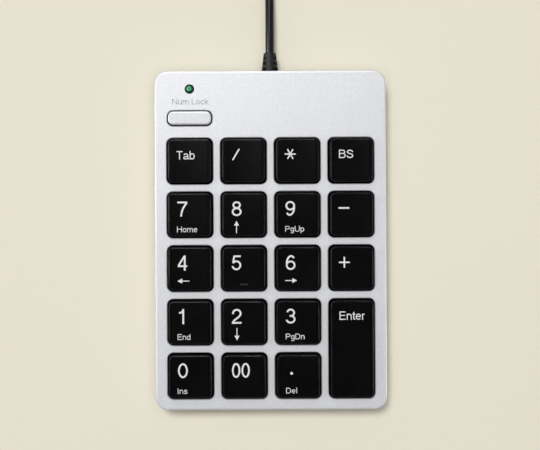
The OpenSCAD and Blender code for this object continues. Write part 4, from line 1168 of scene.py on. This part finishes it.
def ring(cx, cy, rx, ry, last, steps):
    """A closed oval line whose last step, from the last angle on, is a shorter one."""
    return arc(cx, cy, rx, ry, 0, last, steps) + [(cx + rx, cy)]


def stem(x, start=1, end=0):
    """An upright stroke."""
    return [(x, start), (x, end)]


def bar(y, start, end):
    """A level stroke."""
    return [(start, y), (end, y)]


# Each digit is drawn as centre lines of its strokes, in a box 3.6 wide and 5.3 high.
DIGITS = {
    "0": [ring(1.8, 2.65, 1.42, 2.29, 352, 28)],
    "1": [[(0.55, 3.95), (1.15, 4.02), (1.62, 4.3), (1.85, 4.75), (1.94, 5.0)], stem(2.0, 5.3)],
    "2": [arc(1.82, 3.62, 1.34, 1.32, 188, -22, 16)
          + [(2.75, 2.7), (2.2, 2.15), (1.45, 1.65), (0.85, 1.15), (0.5, 0.62), (0.42, 0.36)],
          bar(0.36, 0.1, 3.45)],
    "3": [arc(1.75, 3.82, 1.2, 1.12, 170, -90, 14), arc(1.72, 1.52, 1.42, 1.18, 95, -172, 16),
          bar(2.7, 1.35, 1.9)],
    "4": [stem(2.62, 5.3), [(2.45, 4.95), (0.42, 1.72)], bar(1.55, 0.2, 3.5)],
    "5": [bar(4.94, 3.3, 0.85), [(1.06, 5.1), (0.62, 2.55)],
          [(0.55, 2.6)] + arc(1.75, 1.78, 1.4, 1.42, 138, -168, 18)],
    "6": [ring(1.82, 1.7, 1.38, 1.34, 350, 22),
          arc(1.95, 3.45, 1.2, 1.49, 30, 100, 6) + [(1.1, 4.45), (0.62, 3.6), (0.44, 2.6), (0.45, 1.7)]],
    "7": [bar(4.94, 0.15, 3.45), [(3.25, 4.75), (2.6, 3.85), (2.0, 2.75), (1.6, 1.6), (1.36, 0)]],
    "8": [ring(1.8, 3.92, 1.16, 1.02, 350, 20), ring(1.8, 1.58, 1.42, 1.22, 350, 22)],
    "9": [ring(1.78, 3.6, 1.38, 1.34, 350, 22),
          arc(1.65, 1.85, 1.2, 1.49, 210, 280, 6) + [(2.5, 0.85), (2.98, 1.7), (3.16, 2.7), (3.15, 3.6)]],
}


def ribbon(mesh, line, width):
    """A flat stroke along a line of points, as a thin closed bar between the print's foot and its face."""
    points = [Vector((x, y, 0)) for x, y in line]
    closed = (points[0] - points[-1]).length < ONE_POINT
    if closed:
        points = points[:-1]
    count = len(points)
    rings = []
    for i, point in enumerate(points):
        before = points[(i - 1) % count] if closed or i else point
        after = points[(i + 1) % count] if closed or i < count - 1 else point
        into = (point - before).normalized() if point != before else (after - point).normalized()
        out = (after - point).normalized() if point != after else into
        along = (into + out).normalized()
        side = Vector((-along.y, along.x, 0)) * width / 2 / max(along.dot(out), 0.6)
        corners = (point + side, point - side)
        rings.append([mesh.verts.new((c.x, c.y, level)) for level in (1, 0) for c in corners])
    for first, second in in_turn(rings, closed):
        for a, b in ((0, 1), (1, 3), (3, 2), (2, 0)):
            mesh.faces.new((first[a], first[b], second[b], second[a]))
    if not closed:
        for ring in (rings[0], rings[-1]):
            mesh.faces.new((ring[0], ring[1], ring[3], ring[2]))


def patch(mesh, outline):
    """A flat filled shape, as a thin closed plate between the print's foot and its face."""
    top = [mesh.verts.new((x, y, 1)) for x, y in outline]
    foot = [mesh.verts.new((x, y, 0)) for x, y in outline]
    mesh.faces.new(top)
    mesh.faces.new(foot[::-1])
    for i in range(len(top)):
        j = (i + 1) % len(top)
        mesh.faces.new((top[i], foot[i], foot[j], top[j]))


def keypad_print(name, shapes, centre, surface, body, material):
    """A piece of printed signs: its flat shapes laid on the surface under them."""
    mesh = bmesh.new()
    for kind, *drawn in shapes:
        if kind == "stroke":
            ribbon(mesh, *drawn)
        else:
            patch(mesh, *drawn)
    for vert in mesh.verts:
        level = PRINT_ABOVE if vert.co.z > 0.5 else -PRINT_BELOW
        x, y = vert.co.x, vert.co.y
        vert.co = Vector(((centre[0] + x) * MM, (centre[1] + y) * MM, (surface(x) + level) * MM))
    bmesh.ops.recalc_face_normals(mesh, faces=mesh.faces)
    data = bpy.data.meshes.new(name)
    mesh.to_mesh(data)
    mesh.free()
    data.materials.append(material)
    made = set_down(name, data)
    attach(made, body)
    return made


# Centre lines of plain sans letters, for a capital 1 high, each with the width that it takes.
LETTERS = {
    " ": (0.387, []),
    "B": (0.929, [stem(0.13),
                  bar(0.94, 0.13, 0.5) + arc(0.52, 0.745, 0.24, 0.195, 90, -90, 8) + [(0.13, 0.55)],
                  [(0.5, 0.55)] + arc(0.54, 0.305, 0.28, 0.245, 90, -90, 8) + [(0.13, 0.06)]]),
    "D": (1.006, [stem(0.13, 0, 1),
                  bar(0.94, 0.13, 0.44) + arc(0.45, 0.5, 0.43, 0.44, 90, -90, 14) + [(0.13, 0.06)]]),
    "E": (0.929, [stem(0.13), bar(0.94, 0.13, 0.83), bar(0.53, 0.13, 0.78), bar(0.06, 0.13, 0.85)]),
    "H": (1.006, [stem(0.13), stem(0.875), bar(0.54, 0.13, 0.875)]),
    "I": (0.387, [stem(0.195)]),
    "L": (0.774, [stem(0.13), bar(0.06, 0.13, 0.73)]),
    "N": (1.006, [stem(0.13, 0, 1), [(0.15, 0.95), (0.855, 0.05)], stem(0.875, 0, 1)]),
    "P": (0.929, [stem(0.13),
                  bar(0.94, 0.13, 0.52) + arc(0.54, 0.705, 0.28, 0.235, 90, -90, 10) + [(0.13, 0.47)]]),
    "S": (0.929, [[(0.8, 0.72), (0.72, 0.86), (0.47, 0.945), (0.23, 0.88), (0.15, 0.74), (0.23, 0.61),
                   (0.47, 0.53), (0.73, 0.44), (0.82, 0.28), (0.73, 0.12), (0.46, 0.05), (0.2, 0.13),
                   (0.1, 0.3)]]),
    "T": (0.851, [bar(0.94, 0.03, 0.82), stem(0.425, 0.94)]),
    "U": (1.006, [stem(0.13, 1, 0.36) + arc(0.5, 0.36, 0.37, 0.31, 180, 360, 12) + [(0.87, 1)]]),
    "a": (0.774, [arc(0.37, 0.49, 0.25, 0.185, 165, 0, 8) + [(0.62, 0.12), (0.66, 0.06), (0.74, 0.06)],
                  [(0.62, 0.4), (0.48, 0.37), (0.28, 0.33), (0.14, 0.27), (0.1, 0.18), (0.16, 0.09),
                   (0.3, 0.055), (0.46, 0.08), (0.58, 0.15), (0.62, 0.24)]]),
    "b": (0.774, [stem(0.13), bowl(0.39, 0.365, 0.26, 0.31)]),
    "c": (0.696, [arc(0.37, 0.365, 0.26, 0.31, 38, 322, 16)]),
    "d": (0.774, [stem(0.64), bowl(0.38, 0.365, 0.26, 0.31)]),
    "e": (0.774, [bar(0.385, 0.12, 0.65), arc(0.385, 0.365, 0.27, 0.31, 4, 318, 16)]),
    "g": (0.774, [bowl(0.37, 0.385, 0.25, 0.29),
                  stem(0.63, 0.73, -0.02) + arc(0.37, -0.02, 0.26, 0.21, 0, -155, 10)]),
    "k": (0.696, [stem(0.12), [(0.6, 0.72), (0.14, 0.27)], [(0.3, 0.43), (0.64, 0)]]),
    "l": (0.309, [stem(0.155)]),
    "m": (1.16, [stem(0.12, 0.73), arc(0.35, 0.46, 0.23, 0.21, 180, 0, 10) + [(0.58, 0)],
                 arc(0.81, 0.46, 0.23, 0.21, 180, 0, 10) + [(1.04, 0)]]),
    "n": (0.774, [stem(0.13, 0.73), arc(0.385, 0.44, 0.255, 0.235, 180, 0, 10) + [(0.64, 0)]]),
    "o": (0.774, [bowl(0.387, 0.365, 0.28, 0.31)]),
    "p": (0.774, [stem(0.13, 0.73, -0.28), bowl(0.39, 0.365, 0.26, 0.31)]),
    "r": (0.464, [stem(0.13, 0.73), arc(0.37, 0.41, 0.24, 0.26, 175, 85, 6)]),
    "s": (0.696, [[(0.58, 0.53), (0.51, 0.635), (0.35, 0.675), (0.19, 0.635), (0.13, 0.54), (0.2, 0.44),
                   (0.35, 0.385), (0.52, 0.32), (0.595, 0.21), (0.52, 0.1), (0.34, 0.055), (0.16, 0.1),
                   (0.09, 0.21)]]),
    "t": (0.387, [[(0.19, 0.93), (0.19, 0.15), (0.24, 0.07), (0.37, 0.06)], bar(0.67, 0.02, 0.36)]),
    "u": (0.774, [stem(0.13, 0.73, 0.27) + arc(0.375, 0.27, 0.245, 0.215, 180, 350, 10), stem(0.64, 0.73)]),
}
LETTER_GAP = 0.14


def words(text, cap, left, base, width):
    """A word or two as strokes: its capital's height, its left edge, its base line and its whole width."""
    natural = sum(LETTERS[letter][0] for letter in text) - LETTER_GAP
    wide = width / natural
    at = left - LETTER_GAP / 2 * wide
    found = []
    for letter in text:
        advance, lines = LETTERS[letter]
        for line in lines:
            found.append(("stroke", [(at + x * wide, base + y * cap) for x, y in line], LETTER_STROKE * cap))
        at += advance * wide
    return found


def digit(sign, left, foot=-0.62, width=1.0):
    """A digit's strokes, from its left edge and its foot."""
    return [("stroke", [(left + x * width, foot + y) for x, y in line], STROKE) for line in DIGITS[sign]]


def arrow(x, y, across, up, length):
    """An arrow with a filled head, by its middle, its direction and its length."""
    tip = (x + across * length / 2, y + up * length / 2)
    tail = (x - across * length / 2, y - up * length / 2)
    neck = (tip[0] - across * ARROW_HEAD, tip[1] - up * ARROW_HEAD)
    wings = [(neck[0] - up * ARROW_SPREAD * side, neck[1] + across * ARROW_SPREAD * side) for side in (-1, 1)]
    return [("stroke", [tail, neck], ARROW_SHAFT), ("patch", [wings[0], tip, wings[1]])]


# Places on a key are counted from its middle. CAP is the height of the capitals on the word keys, WORD_CAP of
# those under a digit.
ARROW_HEAD = 1.65
ARROW_SPREAD = 0.88
ARROW_SHAFT = 0.3
CAP = 2.95
WORD_BASE = -6.15
WORD_CAP = 2.0
LEFT = -4.38
STAR_AT = (-2.5, 2.12)
STAR_ARM = 1.95
SIGNS = {
    "key_tab": words("Tab", CAP, LEFT, 0.42, 6.3),
    "key_divide": [("stroke", [(-3.75, 0.1), (-1.4, 4.05)], 0.5)],
    "key_multiply": [("stroke", [(STAR_AT[0] + arm * math.sin(a), STAR_AT[1] + arm * math.cos(a))
                                 for arm in (STAR_ARM, -STAR_ARM)], 0.46)
                     for a in (math.radians(30), math.radians(90), math.radians(150))],
    "key_backspace": words("BS", CAP, LEFT, 0.62, 5.0),
    "key_7": digit("7", LEFT, width=1.05) + words("Home", WORD_CAP, LEFT, WORD_BASE, 7.1),
    "key_8": digit("8", LEFT + 0.17) + arrow(-2.5, -4.45, 0, 1, 4.4),
    "key_9": digit("9", LEFT) + words("PgUp", WORD_CAP, LEFT, WORD_BASE, 6.6),
    "key_minus": [("stroke", bar(2.1, -4.63, -0.88), 0.58)],
    "key_4": digit("4", LEFT) + arrow(-2.23, -4.3, -1, 0, 4.2),
    "key_5": digit("5", LEFT),
    "key_6": digit("6", LEFT) + arrow(-2.43, -4.3, 1, 0, 4.2),
    "key_plus": [("stroke", line, 0.52) for line in (bar(2.0, -4.63, -0.78), stem(-2.7, 3.93, 0.08))],
    "key_1": digit("1", LEFT) + words("End", WORD_CAP, LEFT, WORD_BASE, 4.5),
    "key_2": digit("2", LEFT) + arrow(-2.53, -4.25, 0, -1, 4.4),
    "key_3": digit("3", LEFT) + words("PgDn", WORD_CAP, LEFT, WORD_BASE, 6.6),
    "key_enter": words("Enter", CAP, LEFT - 0.12, 10.1, 8.8),
    "key_0": digit("0", LEFT) + words("Ins", WORD_CAP, LEFT - 0.2, WORD_BASE, 3.5),
    "key_00": digit("0", LEFT, width=0.82) + digit("0", LEFT + 3.35, width=0.82),
    "key_decimal": [("patch", arc(-2.42, 0.9, 0.5, 0.5, 0, 345, 23))]
                   + words("Del", WORD_CAP, LEFT, WORD_BASE, 3.9),
}


def key_places():
    """The middle of each key on the plan."""
    names = (("key_tab", "key_divide", "key_multiply", "key_backspace"),
             ("key_7", "key_8", "key_9", "key_minus"), ("key_4", "key_5", "key_6", "key_plus"),
             ("key_1", "key_2", "key_3", None), ("key_0", "key_00", "key_decimal", None))
    found = {name: (x, y) for y, line in zip(ROWS, names) for x, name in zip(COLUMNS, line) if name}
    found["key_enter"] = (COLUMNS[3], (ROWS[3] + ROWS[4]) / 2)
    return found


def dished(x):
    """The level of a key's top, so far across it."""
    if abs(x) >= DISH_HALF:
        return KEY_TOP
    return KEY_TOP - DISH_DEPTH + DISH_RADIUS - math.sqrt(DISH_RADIUS ** 2 - x * x)


# The signs of the two front rows stand a little higher on their keys.
FRONT_ROWS = -20.0
FRONT_LIFT = 0.2
LABEL_AT = (-28.4, 49.1)


def print_signs(kinds):
    for name, (x, y) in key_places().items():
        centre = (x, y + (FRONT_LIFT if y < FRONT_ROWS else 0.0))
        keypad_print(name + "_sign", SIGNS[name], centre, dished, name, kinds["print_white"])
    label = words("Num Lock", 2.09, -6.2, -0.95, 12.7)
    keypad_print("lock_label", label, LABEL_AT, lambda x: COVER_TOP, "housing", kinds["print_grey"])


# ---------- all of it ----------

def dress_cad_nodes(kinds):
    """Gives every carried-over CAD node the material of its slot."""
    slots = {row["node"]: row["material_slot"] for row in frame["record"]["subparts"]}
    for name, node in frame["nodes"].items():
        node.data.materials.clear()
        node.data.materials.append(kinds[slots[name]])


def build():
    """The keypad and its cord, on the floor and in the light of the photograph."""
    set_camera()
    set_room()
    hang_lamps()
    kinds = make_materials()
    lay_floor(kinds["floor_card"])
    dress_cad_nodes(kinds)
    make_key_caps(kinds)
    make_button(kinds)
    make_domes(kinds)
    cord = lay_cord(kinds["cord_black"])
    tie = make_tie(kinds["tie_black"])
    boot = make_relief(kinds["boot_black"])
    print_signs(kinds)
    bpy.context.scene.view_settings.view_transform = "Standard"


build()
